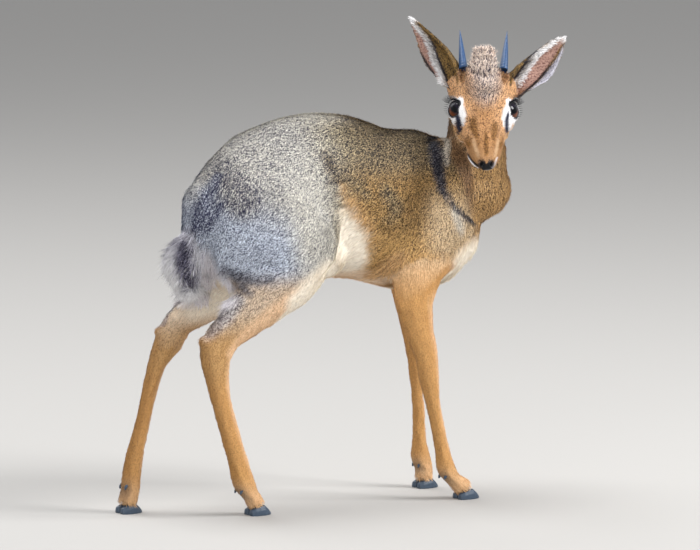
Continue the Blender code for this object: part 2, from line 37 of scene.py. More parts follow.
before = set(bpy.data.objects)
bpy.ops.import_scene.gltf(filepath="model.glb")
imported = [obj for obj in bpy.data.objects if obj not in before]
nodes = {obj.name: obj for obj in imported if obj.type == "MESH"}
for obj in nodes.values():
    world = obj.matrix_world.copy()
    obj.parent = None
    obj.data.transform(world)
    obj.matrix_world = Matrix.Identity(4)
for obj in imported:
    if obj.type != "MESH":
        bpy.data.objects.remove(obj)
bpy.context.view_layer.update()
mm = 0.001

fleshNodes = [n for n in sorted(nodes) if not n.startswith(("eye", "horn", "forefoot", "hindfoot"))]
sides = {"right": -1, "left": 1}


def middleOf(name):
    low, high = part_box(name)
    return np.array((low + high) / 2)


# The head's own axes: forward to the nose, left, and up out of the crown
headPose = {"turn": -117.5, "nod": 33, "tilt": -2, "eyeForward": 1, "eyeUp": 0.5}

eyeMiddle = {side: middleOf("eye_" + side) for side in sides}
eyeRadius = (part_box("eye_left")[1].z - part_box("eye_left")[0].z) / 2
headTurn = (
    Matrix.Rotation(math.radians(headPose["turn"]), 3, "Z")
    @ Matrix.Rotation(math.radians(headPose["nod"]), 3, "Y")
    @ Matrix.Rotation(math.radians(headPose["tilt"]), 3, "X")
)
headAxes = np.array(headTurn)
betweenEyes = (eyeMiddle["right"] + eyeMiddle["left"]) / 2
headMiddle = betweenEyes - headAxes @ np.array((headPose["eyeForward"], 0, headPose["eyeUp"])) * mm


def toHead(points):
    return (points - headMiddle) @ headAxes / mm


def fromHead(points):
    return np.asarray(points, float) @ headAxes.T * mm + headMiddle


# shapes of masks, all from 0 to 1

def ramp(x, start, end):
    t = np.clip((x - start) / (end - start), 0, 1)
    return t * t * (3 - 2 * t)


def blob(points, middle, radii, soft=0.3):
    away = np.linalg.norm((points - np.array(middle)) / np.array(radii), axis=1)
    return 1 - ramp(away, 1 - soft, 1 + soft)


def mix(first, second, weight):
    return first + (np.asarray(second, float) - first) * np.reshape(weight, (-1, 1))


def alongPath(points, path):
    # distance from each point to the path, and how far along it the nearest place is
    path = np.array(path, float)
    best = np.full(len(points), 1e9)
    share = np.zeros(len(points))
    for i, (a, b) in enumerate(zip(path, path[1:])):
        t = np.clip((points - a) @ (b - a) / ((b - a) @ (b - a)), 0, 1)
        away = np.linalg.norm(points - a - t[:, None] * (b - a), axis=1)
        near = away < best
        best[near] = away[near]
        share[near] = ((i + t) / (len(path) - 1))[near]
    return best, share


def streak(points, path, width, soft=0.4):
    away, share = alongPath(points, path)
    if not np.isscalar(width):
        width = np.interp(share, np.linspace(0, 1, len(width)), width)
    return 1 - ramp(away, width * (1 - soft), width * (1 + soft))


# meshes as arrays

def gather(items, field, width, kind=np.float32):
    values = np.empty(len(items) * width, kind)
    items.foreach_get(field, values)
    return values.reshape(-1, width)


def pointsOf(mesh):
    return gather(mesh.vertices, "co", 3).astype(float)


def normalsOf(mesh):
    return gather(mesh.vertices, "normal", 3).astype(float)


def edgesOf(mesh):
    return gather(mesh.edges, "vertices", 2, np.int32).T


def placePoints(mesh, points):
    mesh.vertices.foreach_set("co", np.asarray(points, np.float32).ravel())
    mesh.update()


def soften(values, edges, rounds, weight=1.0, swell=0.0):
    # each round moves a value half way to the mean of its neighbours; swell moves it back out
    a, b = edges
    count = len(values)
    degree = np.bincount(np.concatenate([a, b]), minlength=count)[:, None]
    values = values.reshape(count, -1).copy()
    weight = np.reshape(weight, (-1, 1))
    for _ in range(rounds):
        for amount in (0.5, -swell) if swell else (0.5,):
            total = np.empty_like(values)
            for k in range(values.shape[1]):
                total[:, k] = np.bincount(a, values[b, k], count) + np.bincount(b, values[a, k], count)
            values += weight * amount * (total / degree - values)
    return values


def unit(vectors):
    return vectors / np.maximum(np.linalg.norm(vectors, axis=1, keepdims=True), 1e-9)


def settled(work, name):
    # a bmesh that is done, as a mesh
    mesh = bpy.data.meshes.new(name)
    work.to_mesh(mesh)
    work.free()
    return mesh


def newObject(name, data):
    made = bpy.data.objects.new(name, data)
    bpy.context.scene.collection.objects.link(made)
    return made


def evaluated(obj):
    mesh = bpy.data.meshes.new_from_object(obj.evaluated_get(bpy.context.evaluated_depsgraph_get()))
    obj.modifiers.clear()
    obj.data = mesh
    return mesh


def fused(obj, grain):
    # remeshed as one closed skin, with points about a grain apart
    fuse = obj.modifiers.new("fuse", "REMESH")
    fuse.mode = "VOXEL"
    fuse.voxel_size = grain * mm
    return evaluated(obj)


def addAttribute(mesh, name, kind, values):
    field = {"FLOAT": "value", "FLOAT_VECTOR": "vector", "FLOAT_COLOR": "color"}[kind]
    attribute = mesh.attributes.new(name, kind, "POINT")
    attribute.data.foreach_set(field, np.asarray(values, np.float32).ravel())


def tone(red, green, blue):
    # a colour of 0 to 255 on screen, as the shader wants it
    c = np.array((red, green, blue)) / 255
    return tuple(np.where(c < 0.04045, c / 12.92, ((c + 0.055) / 1.055) ** 2.4))


# nodes, for materials and for geometry

class Wire:
    # wraps an output socket, so that shader maths reads as plain expressions
    def __init__(self, net, socket):
        self.net = net
        self.socket = socket

    def maths(self, operation, first, second):
        # a Vector Math node where either side has three values
        kind = "ShaderNodeMath"
        if any(isinstance(w, Wire) and w.socket.type in ("VECTOR", "RGBA") for w in (first, second)):
            kind = "ShaderNodeVectorMath"
            first, second = [(v, v, v) if isinstance(v, (int, float)) else v for v in (first, second)]
        return self.net.node(kind, {"operation": operation}, {0: first, 1: second})

    def __add__(self, other):
        return self.maths("ADD", self, other)

    def __radd__(self, other):
        return self.maths("ADD", other, self)

    def __sub__(self, other):
        return self.maths("SUBTRACT", self, other)

    def __rsub__(self, other):
        return self.maths("SUBTRACT", other, self)

    def __mul__(self, other):
        return self.maths("MULTIPLY", self, other)

    def __rmul__(self, other):
        return self.maths("MULTIPLY", other, self)

    def __truediv__(self, other):
        return self.maths("DIVIDE", self, other)

    def out(self, name):
        return Wire(self.net, self.socket.node.outputs[name])


class Net:
    def __init__(self, tree):
        self.tree = tree

    def node(self, kind, settings=None, inputs=None, out=None):
        made = self.tree.nodes.new(kind)
        for name, value in (settings or {}).items():
            setattr(made, name, value)
        for name, value in (inputs or {}).items():
            socket = made.inputs[name]
            if isinstance(name, str):
                socket = next(s for s in made.inputs if s.name == name and s.enabled)
            if isinstance(value, Wire):
                self.tree.links.new(value.socket, socket)
            elif socket.type == "RGBA" and len(value) == 3:
                socket.default_value = (*value, 1)
            else:
                socket.default_value = value
        outputs = [s for s in made.outputs if s.enabled]
        return Wire(self, outputs[0] if out is None else made.outputs[out]) if outputs else made

    def blend(self, factor, first, second):
        inputs = {"Factor": factor, "A": first, "B": second}
        return self.node("ShaderNodeMix", {"data_type": "RGBA"}, inputs)

    def place(self):
        return self.node("ShaderNodeTexCoord", out="Object")

    def attribute(self, name, out="Fac"):
        return self.node("ShaderNodeAttribute", {"attribute_name": name}, out=out)

    def noise(self, place, scale, detail=2.0, rough=0.5):
        inputs = {"Vector": place, "Scale": scale, "Detail": detail, "Roughness": rough}
        return self.node("ShaderNodeTexNoise", None, inputs, out="Fac")

    def smooth(self, value, start, end):
        settings = {"interpolation_type": "SMOOTHSTEP"}
        return self.node("ShaderNodeMapRange", settings, {"Value": value, "From Min": start, "From Max": end})


def newMaterial(name, roughness, specular=0.5, **constants):
    material = bpy.data.materials.new(name)
    material.use_nodes = True
    net = Net(material.node_tree)
    shader = material.node_tree.nodes["Principled BSDF"]
    shader.inputs["Roughness"].default_value = roughness
    shader.inputs["Specular IOR Level"].default_value = specular
    for socket, value in constants.items():
        shader.inputs[socket.replace("_", " ")].default_value = value
    return material, net, shader


def feed(net, shader, **sockets):
    for name, value in sockets.items():
        net.tree.links.new(value.socket, shader.inputs[name.replace("_", " ")])


def bump(net, height, distance):
    return net.node("ShaderNodeBump", None, {"Height": height, "Distance": distance, "Strength": 1.0})


# the skin

skinMake = {
    "overlap": 0.4,  # mm that neighbouring solids are swollen by, to close the cuts between them
    "lid": 0.9,  # mm of lid over an eyeball
    "grain": 1.2,  # mm between points when the solids are fused
    "headReach": 84,  # mm from the middle of the head that keeps the fine grain
    "thinning": 0.29,  # share of the triangles that is kept
    "splitReach": 17,  # mm round eyes and nose with smaller triangles
    # rounds of smoothing, and how much of each round is swollen back
    "fused": {"rounds": 4, "swell": 0.52},
    "fine": {"rounds": 10, "swell": 0.51},
    "body": {"rounds": 40, "swell": 0.44},
    "sinkSteps": 4,  # in which the skin sinks to the depth of the coat
}
# where the crest and the foot of a horn stand, along the head, in mm
crestPlace = {"middle": (-22, 0, 36), "radii": (19, 12, 20), "soft": 0.25}
hornFoot = {"middle": (-30, 19.5, 26), "reach": 10}
# mm from the tips of the coat down to the skin
coatDepth = {
    "trunk": 1.0, "neck": 1.2, "tail": 7.5, "head": 0.7, "crest": 8.5, "nose": 0.3, "ear": 0.1,
    "foreleg": 0.9, "hindleg": 1.0, "fore_cannon": 0.6, "hind_cannon": 0.6,
    "fore_pastern": 0.6, "hind_pastern": 0.6,
}


def fuseFlesh():
    whole = bmesh.new()
    swell = {name: skinMake["overlap"] for name in fleshNodes}
    swell.update({"eye_" + side: skinMake["lid"] for side in sides})
    for name, by in swell.items():
        part = bmesh.new()
        part.from_mesh(nodes[name].data)
        bmesh.ops.remove_doubles(part, verts=part.verts, dist=1e-6)
        part.normal_update()
        for v in part.verts:
            v.co += v.normal * by * mm
        mesh = settled(part, name)
        whole.from_mesh(mesh)
        bpy.data.meshes.remove(mesh)
    skin = newObject("skin", settled(whole, "skin"))
    mesh = fused(skin, skinMake["grain"])
    points = pointsOf(mesh)
    placePoints(mesh, soften(points, edgesOf(mesh), **skinMake["fused"]))
    far = np.linalg.norm(points - headMiddle, axis=1) > skinMake["headReach"] * mm
    group = skin.vertex_groups.new(name="coarse")
    group.add(np.nonzero(far)[0].tolist(), 1.0, "REPLACE")
    thin = skin.modifiers.new("thin out", "DECIMATE")
    thin.ratio = skinMake["thinning"]
    thin.vertex_group = group.name
    thin.vertex_group_factor = 1
    thin.use_collapse_triangulate = True
    evaluated(skin)
    skin.vertex_groups.clear()
    return skin


def nearestFlesh(points):
    # which flesh node each point of the skin belongs to, as a list of names
    corners, faces, owner = [], [], []
    for name in fleshNodes:
        mesh = nodes[name].data
        start = len(corners)
        corners.extend(v.co for v in mesh.vertices)
        for face in mesh.polygons:
            faces.append([start + i for i in face.vertices])
            owner.append(name)
    tree = BVHTree.FromPolygons(corners, faces)
    return np.array([owner[tree.find_nearest(Vector(p))[2]] for p in points])


def partOf(name):
    for word in sorted(coatDepth, key=len, reverse=True):
        if name.startswith(word):
            return word
    return name


def splitFinely(skin, centres):
    # smaller triangles round the eyes and the nose
    mesh = bmesh.new()
    mesh.from_mesh(skin.data)
    spots = [Vector(c) for c in centres]
    reach = skinMake["splitReach"] * mm
    near = [e for e in mesh.edges if any((e.verts[0].co - s).length < reach for s in spots)]
    bmesh.ops.subdivide_edges(mesh, edges=near, cuts=1)
    bmesh.ops.triangulate(mesh, faces=mesh.faces)
    mesh.to_mesh(skin.data)
    mesh.free()


print("fusing the flesh")
skin = fuseFlesh()
splitFinely(skin, [*eyeMiddle.values(), middleOf("nose")])
points = pointsOf(skin.data)
edges = edgesOf(skin.data)
owners = nearestFlesh(points)
parts = np.array([partOf(n) for n in owners])
bodyWide = np.isin(parts, ("trunk", "neck", "hindleg", "tail")) & (points[:, 2] > 0.2)
smoothBody = soften(bodyWide.astype(float), edges, 12)
smoothFine = soften((parts != "ear").astype(float), edges, 3)
points = soften(points, edges, weight=smoothFine, **skinMake["fine"])
points = soften(points, edges, weight=smoothBody, **skinMake["body"])
placePoints(skin.data, points)

depth = np.array([coatDepth[p] for p in parts])
headPoints = toHead(points)
nearCrest = blob(headPoints, crestPlace["middle"], crestPlace["radii"], crestPlace["soft"])
depth = np.maximum(depth, coatDepth["crest"] * nearCrest * (parts != "ear"))
depth = soften(depth, edges, 16)
toFoot = np.abs(headPoints) * (0, 1, 0) + headPoints * (1, 0, 1) - hornFoot["middle"]
atFoot = np.exp(-((np.linalg.norm(toFoot, axis=1) / hornFoot["reach"]) ** 4))
depth = mix(depth, coatDepth["head"], atFoot)
for _ in range(skinMake["sinkSteps"]):
    points = points - normalsOf(skin.data) * depth * mm / skinMake["sinkSteps"]
    points = soften(points, edges, 1, 0.7 * smoothFine)
    placePoints(skin.data, points)
print("skin:", len(skin.data.vertices), "points,", len(skin.data.polygons), "triangles")

# the front of the thigh stands over the thin skin of the flank; places seen from the side, x and z in mm
thighFold = {
    "edge": [(-19, 356), (-20, 343), (-22, 310), (-24, 278), (-34, 252), (-54, 236), (-77, 216)],
    "sink": 3.6,  # mm that the flank drops in front of the edge
    "swell": 1.3,  # mm that the thigh stands up behind it
    "reach": (9, 13),  # mm over which each fades
    "between": ((228, 256), (352, 322)),  # the heights over which the fold begins and ends
}


def pastThighEdge(points):
    # mm in front of the edge of the thigh, below 0 behind it
    path = np.array(thighFold["edge"], float)
    side = points[:, [0, 2]] / mm
    best = np.full(len(side), 1e9)
    signed = np.zeros(len(side))
    for a, b in zip(path, path[1:]):
        along = np.clip(((side - a) @ (b - a)) / ((b - a) @ (b - a)), 0, 1)
        away = side - a - along[:, None] * (b - a)
        gap = np.linalg.norm(away, axis=1)
        turn = (b - a)[0] * away[:, 1] - (b - a)[1] * away[:, 0]
        signed = np.where(gap < best, gap * np.sign(turn), signed)
        best = np.minimum(best, gap)
    return signed


def foldThigh(points, normals):
    past = pastThighEdge(points)
    height = points[:, 2] / mm
    low, high = thighFold["between"]
    here = ramp(height, *low) * ramp(height, *high) * ramp(np.abs(normals[:, 1]), 0.35, 0.7)
    sink = thighFold["sink"] * np.exp(-np.clip(past, 0, None) / thighFold["reach"][0]) * ramp(past, -1.2, 1.6)
    swell = thighFold["swell"] * np.exp(-((past / thighFold["reach"][1]) ** 2)) * ramp(-past, -1.0, 1.5)
    return points + normals * ((swell - sink) * here)[:, None] * mm


onBody = np.isin(parts, ("trunk", "hindleg"))
folded = foldThigh(points, normalsOf(skin.data))
points = np.where(onBody[:, None], folded, points)
placePoints(skin.data, points)

# the face: lids, nose, mouth

eyeShape = {
    "gaze": (0.49, 0.66, 0.57),  # along the head: forward, outward, up
    "cornerDrop": -19,  # degrees that the inner corner lies lower than the outer one
    "halfLength": 0.90,  # of the opening, as a share of the eyeball's radius
    "halfHeight": 0.66,
    "marginWidth": 1.6,  # mm over which a lid's edge rolls in
    "fold": 0.45,  # mm depth of the fold above the upper lid
    "foldPlace": (3.2, 0.9),  # mm from the lid's edge, and half its width
    "behind": 1.9,  # mm from the eyeball's surface in to the hidden skin
    "skirt": (9, 6),  # mm that the lids reach, out from the eyeball and away from the opening
}
noseShape = {"nostril": (75.4, 4.6, -7.6), "pit": 3.2, "mouthDepth": 1.0}
mouthLine = [(78, 0, -15.5), (73, 6, -17.5), (65, 11.5, -17.5), (55, 15.5, -14.5), (47, 17.5, -11)]
lowerLip = {
    "path": [(74, -5, -20), (66, -11.5, -20.5), (57, -15.5, -17), (49, -17.5, -13.5)],
    "width": (1.8, 3.0, 3.0, 1.8),
    "out": 3.0,  # mm that it is pushed outward
}


def eyeAxes(side):
    gaze = np.array(eyeShape["gaze"]) * (1, sides[side], 1)
    gaze /= np.linalg.norm(gaze)
    drop = math.radians(eyeShape["cornerDrop"])
    front = np.array((math.cos(drop), 0, -math.sin(drop)))
    front -= gaze * (front @ gaze)
    front /= np.linalg.norm(front)
    up = np.cross(gaze, front) * sides[side]
    return np.array((front, up * (1 if up[2] > 0 else -1), gaze))


def eyeView(points, side):
    # places along the eye's own axes (front, up, gaze), in mm from the eyeball's middle
    away = toHead(points) - toHead(eyeMiddle[side][None])
    return away @ eyeAxes(side).T


def opening(view):
    # below 0 inside the lids, in mm from their edge
    radius = eyeRadius / mm
    across = view[:, 0] / (eyeShape["halfLength"] * radius)
    height = eyeShape["halfHeight"] * radius * np.clip(1 - np.abs(across) ** 2.2, 0.0, 1)
    over = np.abs(view[:, 1]) - height
    return np.where(np.abs(across) < 1, over, np.maximum(over, (np.abs(across) - 1) * radius))


def carveEye(points, side):
    # lids lie on the eyeball, and inside their opening the skin drops behind it
    view = eyeView(points, side)
    away = np.linalg.norm(view, axis=1)
    radius = eyeRadius / mm
    edge = opening(view)
    foldAt, foldWide = eyeShape["foldPlace"]
    fold = eyeShape["fold"] * np.exp(-(((edge - foldAt) / foldWide) ** 2)) * (view[:, 1] > 0)
    lid = np.maximum(away, radius + skinMake["lid"]) - fold
    roll = ramp(edge, -eyeShape["marginWidth"], 0.25)
    shell = (radius - eyeShape["behind"]) * (1 - roll) + lid * roll
    near = (view[:, 2] > 0) & (away < radius + eyeShape["skirt"][0]) & (edge < eyeShape["skirt"][1])
    moved = view * (shell / np.maximum(away, 1e-6))[:, None]
    inHead = moved @ eyeAxes(side) + toHead(eyeMiddle[side][None])
    return np.where(near[:, None], fromHead(inHead), points)


def carveNose(points, normals):
    head = toHead(points)
    inward = np.zeros(len(points))
    for side in (-1, 1):
        f, l, u = noseShape["nostril"]
        comma = [(f, side * l * 0.55, u - 2.6), (f, side * l, u - 0.8), (f - 1.2, side * (l + 1.4), u + 2.2)]
        inward += noseShape["pit"] * streak(head, comma, (1.1, 2.0, 1.2), 0.5)
        line = [(a, side * b, c) for a, b, c in mouthLine]
        inward += noseShape["mouthDepth"] * streak(head, line, 0.9, 0.6) * (head[:, 0] > 40)
    return points - normals * inward[:, None] * mm


def swellLip(points, normals):
    # the lower lip pushed to the animal's right, as in chewing
    out = lowerLip["out"] * streak(toHead(points), lowerLip["path"], lowerLip["width"], 0.6)
    return points + normals * out[:, None] * mm


print("carving the face")
points = swellLip(points, normalsOf(skin.data))
for side in sides:
    points = carveEye(points, side)
placePoints(skin.data, points)
points = carveNose(points, normalsOf(skin.data))
placePoints(skin.data, points)

# the lie of the coat

body = points / mm  # places in mm
head = toHead(points)
normals = normalsOf(skin.data)
midline = float(middleOf("tail")[1] + middleOf("trunk")[1]) / 2 / mm
aside = np.abs(body[:, 1] - midline)
xs, ys, zs = body.T
forward, left, up = head.T
nearHead = np.isin(parts, ("head", "crest", "nose", "ear"))
measures = {"x": xs, "z": zs, "forward": forward, "up": up}


def zone(**spans):
    # a mask: by each measure it goes from 0 at one value to 1 at the next, once or twice
    mask = np.ones(len(body))
    for name, ends in spans.items():
        for k in range(0, len(ends), 2):
            mask = mask * ramp(measures[name], ends[k], ends[k + 1])
    return mask


def longAxis(name, towards):
    # the long axis of a node, pointing the way given
    corners = pointsOf(nodes[name].data)
    axis = np.linalg.svd(corners - corners.mean(0), full_matrices=False)[2][0]
    return axis * np.sign(axis @ np.array(towards, float))


def trunkLie():
    lie = np.stack([-np.ones(len(body)), np.zeros(len(body)), -0.2 - 0.45 * np.abs(normals[:, 1])], 1)
    lie = mix(lie, (-0.35, 0, -1), zone(x=(-85, -135)))
    lie = mix(lie, (-0.62, 0, -0.78), zone(x=(25, 70), z=(335, 290)))
    lie = mix(lie, (-0.25, 0, -1), zone(x=(105, 135)))
    return mix(lie, (-1, 0, 0), ramp(normals[:, 2], -0.45, -0.8) * zone(z=(262, 240)))


def limbLie(name):
    if name.startswith("hindleg"):
        lie = np.tile((-0.66, 0, -0.75), (len(body), 1))
        return mix(lie, (-0.88, 0, -0.48), zone(z=(195, 240)))
    return np.tile(longAxis(name, (0, 0, -1)), (len(body), 1))


def headLie():
    back = -headAxes[:, 0]
    lie = np.tile(back, (len(body), 1))
    lie = mix(lie, back - 0.5 * headAxes[:, 2], zone(up=(-4, -20)))
    return mix(lie, back + 0.9 * headAxes[:, 2], zone(up=(22, 34)))


def laidFlat(lie):
    return unit(lie - normals * (lie * normals).sum(1)[:, None])


lieOf = {"trunk": trunkLie(), "neck": np.tile((-0.3, 0.12, -1.0), (len(body), 1)), "head": headLie()}
lieOf["crest"] = lieOf["nose"] = lieOf["head"]
lieOf["tail"] = np.tile((-0.5, 0, -1.0), (len(body), 1))
lie = np.zeros_like(points)
for name in fleshNodes:
    mine = owners == name
    if name.startswith("ear"):
        lie[mine] = longAxis(name, middleOf(name) - headMiddle)
    else:
        lie[mine] = (lieOf[name] if name in lieOf else limbLie(name))[mine]
lie = unit(lie)
for _ in range(3):
    lie = laidFlat(soften(lie, edges, 10))

# markings, shared by skin and coat

# of each kind of hair: its light band and its dark tip, as colours of 0 to 255
hairTones = {
    "grey": ((230, 226, 215), (46, 46, 70)),
    "olive": ((214, 198, 158), (36, 36, 44)),
    "ochre": ((210, 168, 106), (56, 42, 28)),
    "shoulder": ((222, 194, 154), (84, 70, 58)),
    # blue: grey hair with a painted cool cast of sky light, as on a shaded side
    "blue": ((214, 222, 234), (46, 48, 80)),
    "cream": ((255, 246, 230), (250, 230, 204)),
    "gaskin": ((222, 196, 164), (128, 110, 96)),
    "white": ((248, 247, 248), (206, 202, 208)),
    "navy": ((112, 114, 128), (18, 20, 34)),
    "hock": ((204, 164, 110), (160, 122, 78)),
    "elbow": ((236, 200, 156), (204, 162, 118)),
    "legFront": ((250, 214, 174), (214, 174, 132)),
    "fringe": ((228, 186, 132), (128, 92, 58)),
    "brown": ((150, 104, 52), (92, 60, 28)),
    "tawny": ((184, 134, 84), (92, 56, 32)),
    "muzzlePale": ((224, 192, 154), (190, 150, 110)),
    "crown": ((246, 228, 214), (42, 38, 66)),
    "earBack": ((150, 118, 66), (52, 44, 36)),
    "concha": ((192, 154, 140), (126, 88, 80)),
    "silver": ((200, 198, 208), (116, 114, 130)),
    "tan": ((214, 164, 102), (190, 142, 86)),
    "neck": ((168, 130, 92), (44, 32, 28)),
    "rufous": ((226, 178, 130), (88, 56, 42)),
    "muzzle": ((166, 124, 82), (96, 64, 40)),
    "dark": ((70, 62, 66), (28, 28, 38)),
    "black": ((26, 28, 36), (12, 13, 18)),
    "saddle": ((194, 170, 130), (30, 30, 36)),
    "brush": ((252, 248, 252), (196, 186, 200)),
    "violet": ((158, 154, 176), (40, 38, 58)),
    "gland": ((58, 66, 96), (22, 26, 44)),
    "lip": ((250, 250, 255), (232, 232, 242)),
    "smoke": ((228, 224, 236), (76, 72, 96)),
}
# what the skin says before anything is painted: lengths in mm, lift in degrees, the rest shares
plainHair = {
    "darkShare": 0.5, "hairLength": 7.5, "hairLift": 10,
    "bodyHair": 1, "shortHair": 0, "longHair": 0, "bareSkin": 0,
}


class Markings:
    # what every point of the skin says about the hair that grows there
    def __init__(self, count):
        self.light, self.dark = [np.tile(tone(*colour), (count, 1)) for colour in hairTones["grey"]]
        self.values = {name: np.full(count, float(value)) for name, value in plainHair.items()}

    def paint(self, weight, tones=None, darkShare=None, **values):
        # how strongly at each point, the kind of hair, its share of dark hairs, and other values by name
        weight = np.asarray(weight, float)
        if tones:
            light, dark = [tone(*colour) for colour in hairTones[tones]]
            self.light = mix(self.light, light, weight)
            self.dark = mix(self.dark, dark, weight)
            values["darkShare"] = darkShare
        for name, value in values.items():
            self.values[name] += weight * (value - self.values[name])


marks = Markings(len(points))
paint = marks.paint
isHind = (parts == "hindleg").astype(float)
side3 = np.stack([xs, aside, zs], 1)  # both sides of the body as one

# the body as it looks from its right rear quarter, in mm across from its middle and up from the floor, and
# the face as it looks from in front, in mm across and up from the point between the eyes
bodyView = {"across": (0.866, 0.5, 0), "up": (0.061, -0.1055, 0.9926), "towards": (-0.496, 0.86, 0.12)}
faceView = {"across": (0.037, 0.998, 0.059), "up": (-0.643, -0.021, 0.766), "towards": (0.766, -0.066, 0.641)}


def asSeen(places, view):
    return np.stack([places @ np.array(view["across"]), places @ np.array(view["up"])], 1)


seen = asSeen(side3, bodyView)
faceSeen = asSeen(head, faceView)
outward = normals[:, 1] * np.where(ys > midline, 1, -1)
outNormals = np.stack([normals[:, 0], outward, normals[:, 2]], 1)
facing = ramp(outNormals @ np.array(bodyView["towards"]), -0.05, 0.35)
faceFacing = ramp(normals @ headAxes @ np.array(faceView["towards"]), 0.0, 0.3)

# streaks on the body as seen: along each, places across and up and the width there, all in mm
bodyStreaks = {
    "hip": [[(-108, 328, 15), (-90, 306, 17)]],
    "rump": [
        [(-114, 328, 4), (-122, 312, 8), (-130, 296, 9), (-136, 278, 6)],
        [(-110, 304, 3), (-117, 292, 4), (-126, 276, 3)],
    ],
    "foldShade": [[(-8, 350, 4), (-1, 338, 6), (5, 326, 5), (10, 314, 3)]],
    "foldHair": [[(6, 332, 1.6), (11, 318, 2.6), (17, 306, 2.6), (24, 292, 1.5)]],
    "band": [
        [(98, 372, 4), (103, 356, 6), (106, 336, 6), (109, 318, 4)],
        [(109, 318, 4), (117, 305, 2), (127, 294, 1.5), (137, 285, 1.3), (146, 279, 0.9)],
    ],
    "beforeBand": [[(113, 366, 3), (112, 354, 3.4), (114, 342, 2)], [(120, 296, 4), (126, 280, 5)]],
    "outerGaskin": [[(-94, 206, 7), (-108, 190, 9), (-126, 173, 8)]],
    "frontGaskin": [[(-36, 208, 9), (-64, 188, 9), (-86, 171, 7), (-102, 152, 5)]],
    "elbow": [[(68, 252, 6), (57, 241, 6), (47, 232, 5), (40, 227, 3)]],
    "rumpHair": [[(-130, 252, 7), (-122, 228, 11), (-114, 204, 10)], [(-114, 228, 9), (-102, 208, 7)]],
    "groove": [
        [(-108, 238, 3), (-94, 229, 5.5), (-74, 225, 5), (-52, 228, 2)],
        [(-90, 220, 4), (-82, 212, 3)],
    ],
    "tail": [[(-144, 264, 5), (-145, 248, 8.5), (-142, 230, 5)]],
}
# streaks on the face as seen, in the same way
faceStreaks = {
    "between": [[(1.4, 2.8, 10), (1.4, -13.2, 12), (1.4, -31.2, 9)]],
    "bridge": [[(1.8, -23.2, 1), (1.8, -31.2, 2.3), (1.8, -44.2, 1.9)]],
    "patches": [
        [(-10.6, -11.2, 3.4), (-10.2, -18.2, 4.4), (-7.6, -26.2, 2)],
        [(10.4, -16.2, 3), (10.4, -22.2, 3.6), (8.9, -28.2, 1.8)],
        [(-20.6, -32.7, 3), (-15.6, -34.2, 2.4)],
        [(16.9, -34.7, 2.6), (13.4, -36.2, 2)],
    ],
    "white": [
        [(-34.6, 13.8, 1.8), (-28.6, 11.3, 2.6), (-22.6, 2.8, 3), (-20.1, -6.2, 3), (-21.1, -14.2, 1.8)],
        [(28.4, 9.8, 2.2), (21.9, -0.2, 2.6), (19.9, -8.2, 2.4), (20.9, -16.2, 1.6)],
        [(-34.1, -8.2, 2.6), (-30.6, -13.2, 2.8)],
        [(27.4, -10.2, 2.4), (24.9, -19.2, 1.8)],
    ],
    "gland": [
        [(-27.2, -2.2, 1.4), (-25.6, -8.2, 2.4), (-24.3, -15.2, 3), (-24.1, -21.2, 2.2)],
        [(24.4, -3.2, 1.2), (23, -9.2, 1.8), (22.6, -16.2, 2), (23, -23.2, 1.6)],
    ],
    "nosePad": [
        [(-2, -54.6, 4.3), (-1.2, -55.2, 4)],
        [(5.6, -54.6, 4.3), (4.8, -55.2, 4)],
        [(0.4, -57.2, 3), (3.4, -57.2, 3)],
    ],
    "noseNotch": [[(1.9, -48.2, 2.4), (1.9, -52.6, 1.2)]],
    "lip": [[(-19, -42.7, 1), (-16.4, -49.2, 2), (-11.6, -55.8, 2.2), (-4.6, -61.2, 1.8)]],
    "farLip": [[(12.4, -48, 0.8), (9.8, -54.5, 1.1), (6, -60, 1.1), (-3, -61.6, 1.2)]],
    "lipLine": [[(-16.6, -44.2, 0.5), (-12, -50.8, 0.9), (-6.2, -56.2, 0.7)]],
}


def strokes(places, paths):
    # the strongest of several streaks
    masks = [streak(places, [spot[:2] for spot in path], [spot[2] for spot in path], 0.6) for path in paths]
    return np.max(masks, axis=0)


def bodyStreak(name):
    # only on the surfaces that face whoever looks
    return strokes(seen, bodyStreaks[name]) * facing


def faded(mask, rounds):
    # a mask with its edge spread out over the neighbouring points
    return soften(np.asarray(mask, float), edges, rounds)[:, 0]


# back and flank
paint(zone(x=(-70, 10)), "olive", 0.5)
flank = zone(x=(-34, 4), z=(368, 326))
paint(flank, "ochre", 0.52)
paint(flank * zone(z=(292, 250)), "ochre", 0.26)
# painted shade in the crease where the flank meets the thigh, with dark hair there too
creaseShadeAndDarkHair = [
    streak(side3, [(28, 60, 322), (40, 62, 306), (34, 62, 290)], (7, 8, 5), 0.9),
    streak(side3, [(-14, 60, 338), (-2, 60, 330), (6, 60, 318)], (5, 7, 5), 0.9),
]
paint(np.maximum(*creaseShadeAndDarkHair) * 0.7, "olive", 0.75)
paint(zone(x=(-40, 24), z=(322, 360, 400, 386)) * 0.9, "saddle", 0.64)
paint(zone(z=(378, 398), x=(30, -10)), "grey", 0.4)
paint(zone(x=(62, 92), z=(335, 296)), "shoulder", 0.36)
# the blue on rump and thigh is grey hair with a painted cool cast of sky light
paint(zone(x=(-95, -140), z=(345, 300)), "blue", 0.5)
paint(blob(side3, (-118, 56, 258), (58, 44, 46), 0.5), "blue", 0.44)
paint(strokes(seen, bodyStreaks["hip"]) * 0.9, "grey", 0.68)
paint(bodyStreak("rump") * 0.75 * (xs < -90), "blue", 0.8)
paint(blob(side3, (-58, 56, 290), (26, 40, 60), 0.6), "grey", 0.36)
# painted shade along the top of the fold in front of the thigh
paint(bodyStreak("foldShade") * 0.8, "saddle", 0.78)
paint(bodyStreak("foldHair") * 0.8, "fringe", 0.3)
# dark band down the front of the shoulder, and the paler hair in front of it
band = bodyStreak("band") * (xs > 40)
beforeBand = bodyStreak("beforeBand") * (xs > 40)
paint(beforeBand * 0.7, "grey", 0.26)
paint(band * 0.9, "navy", 0.72, hairLength=9)

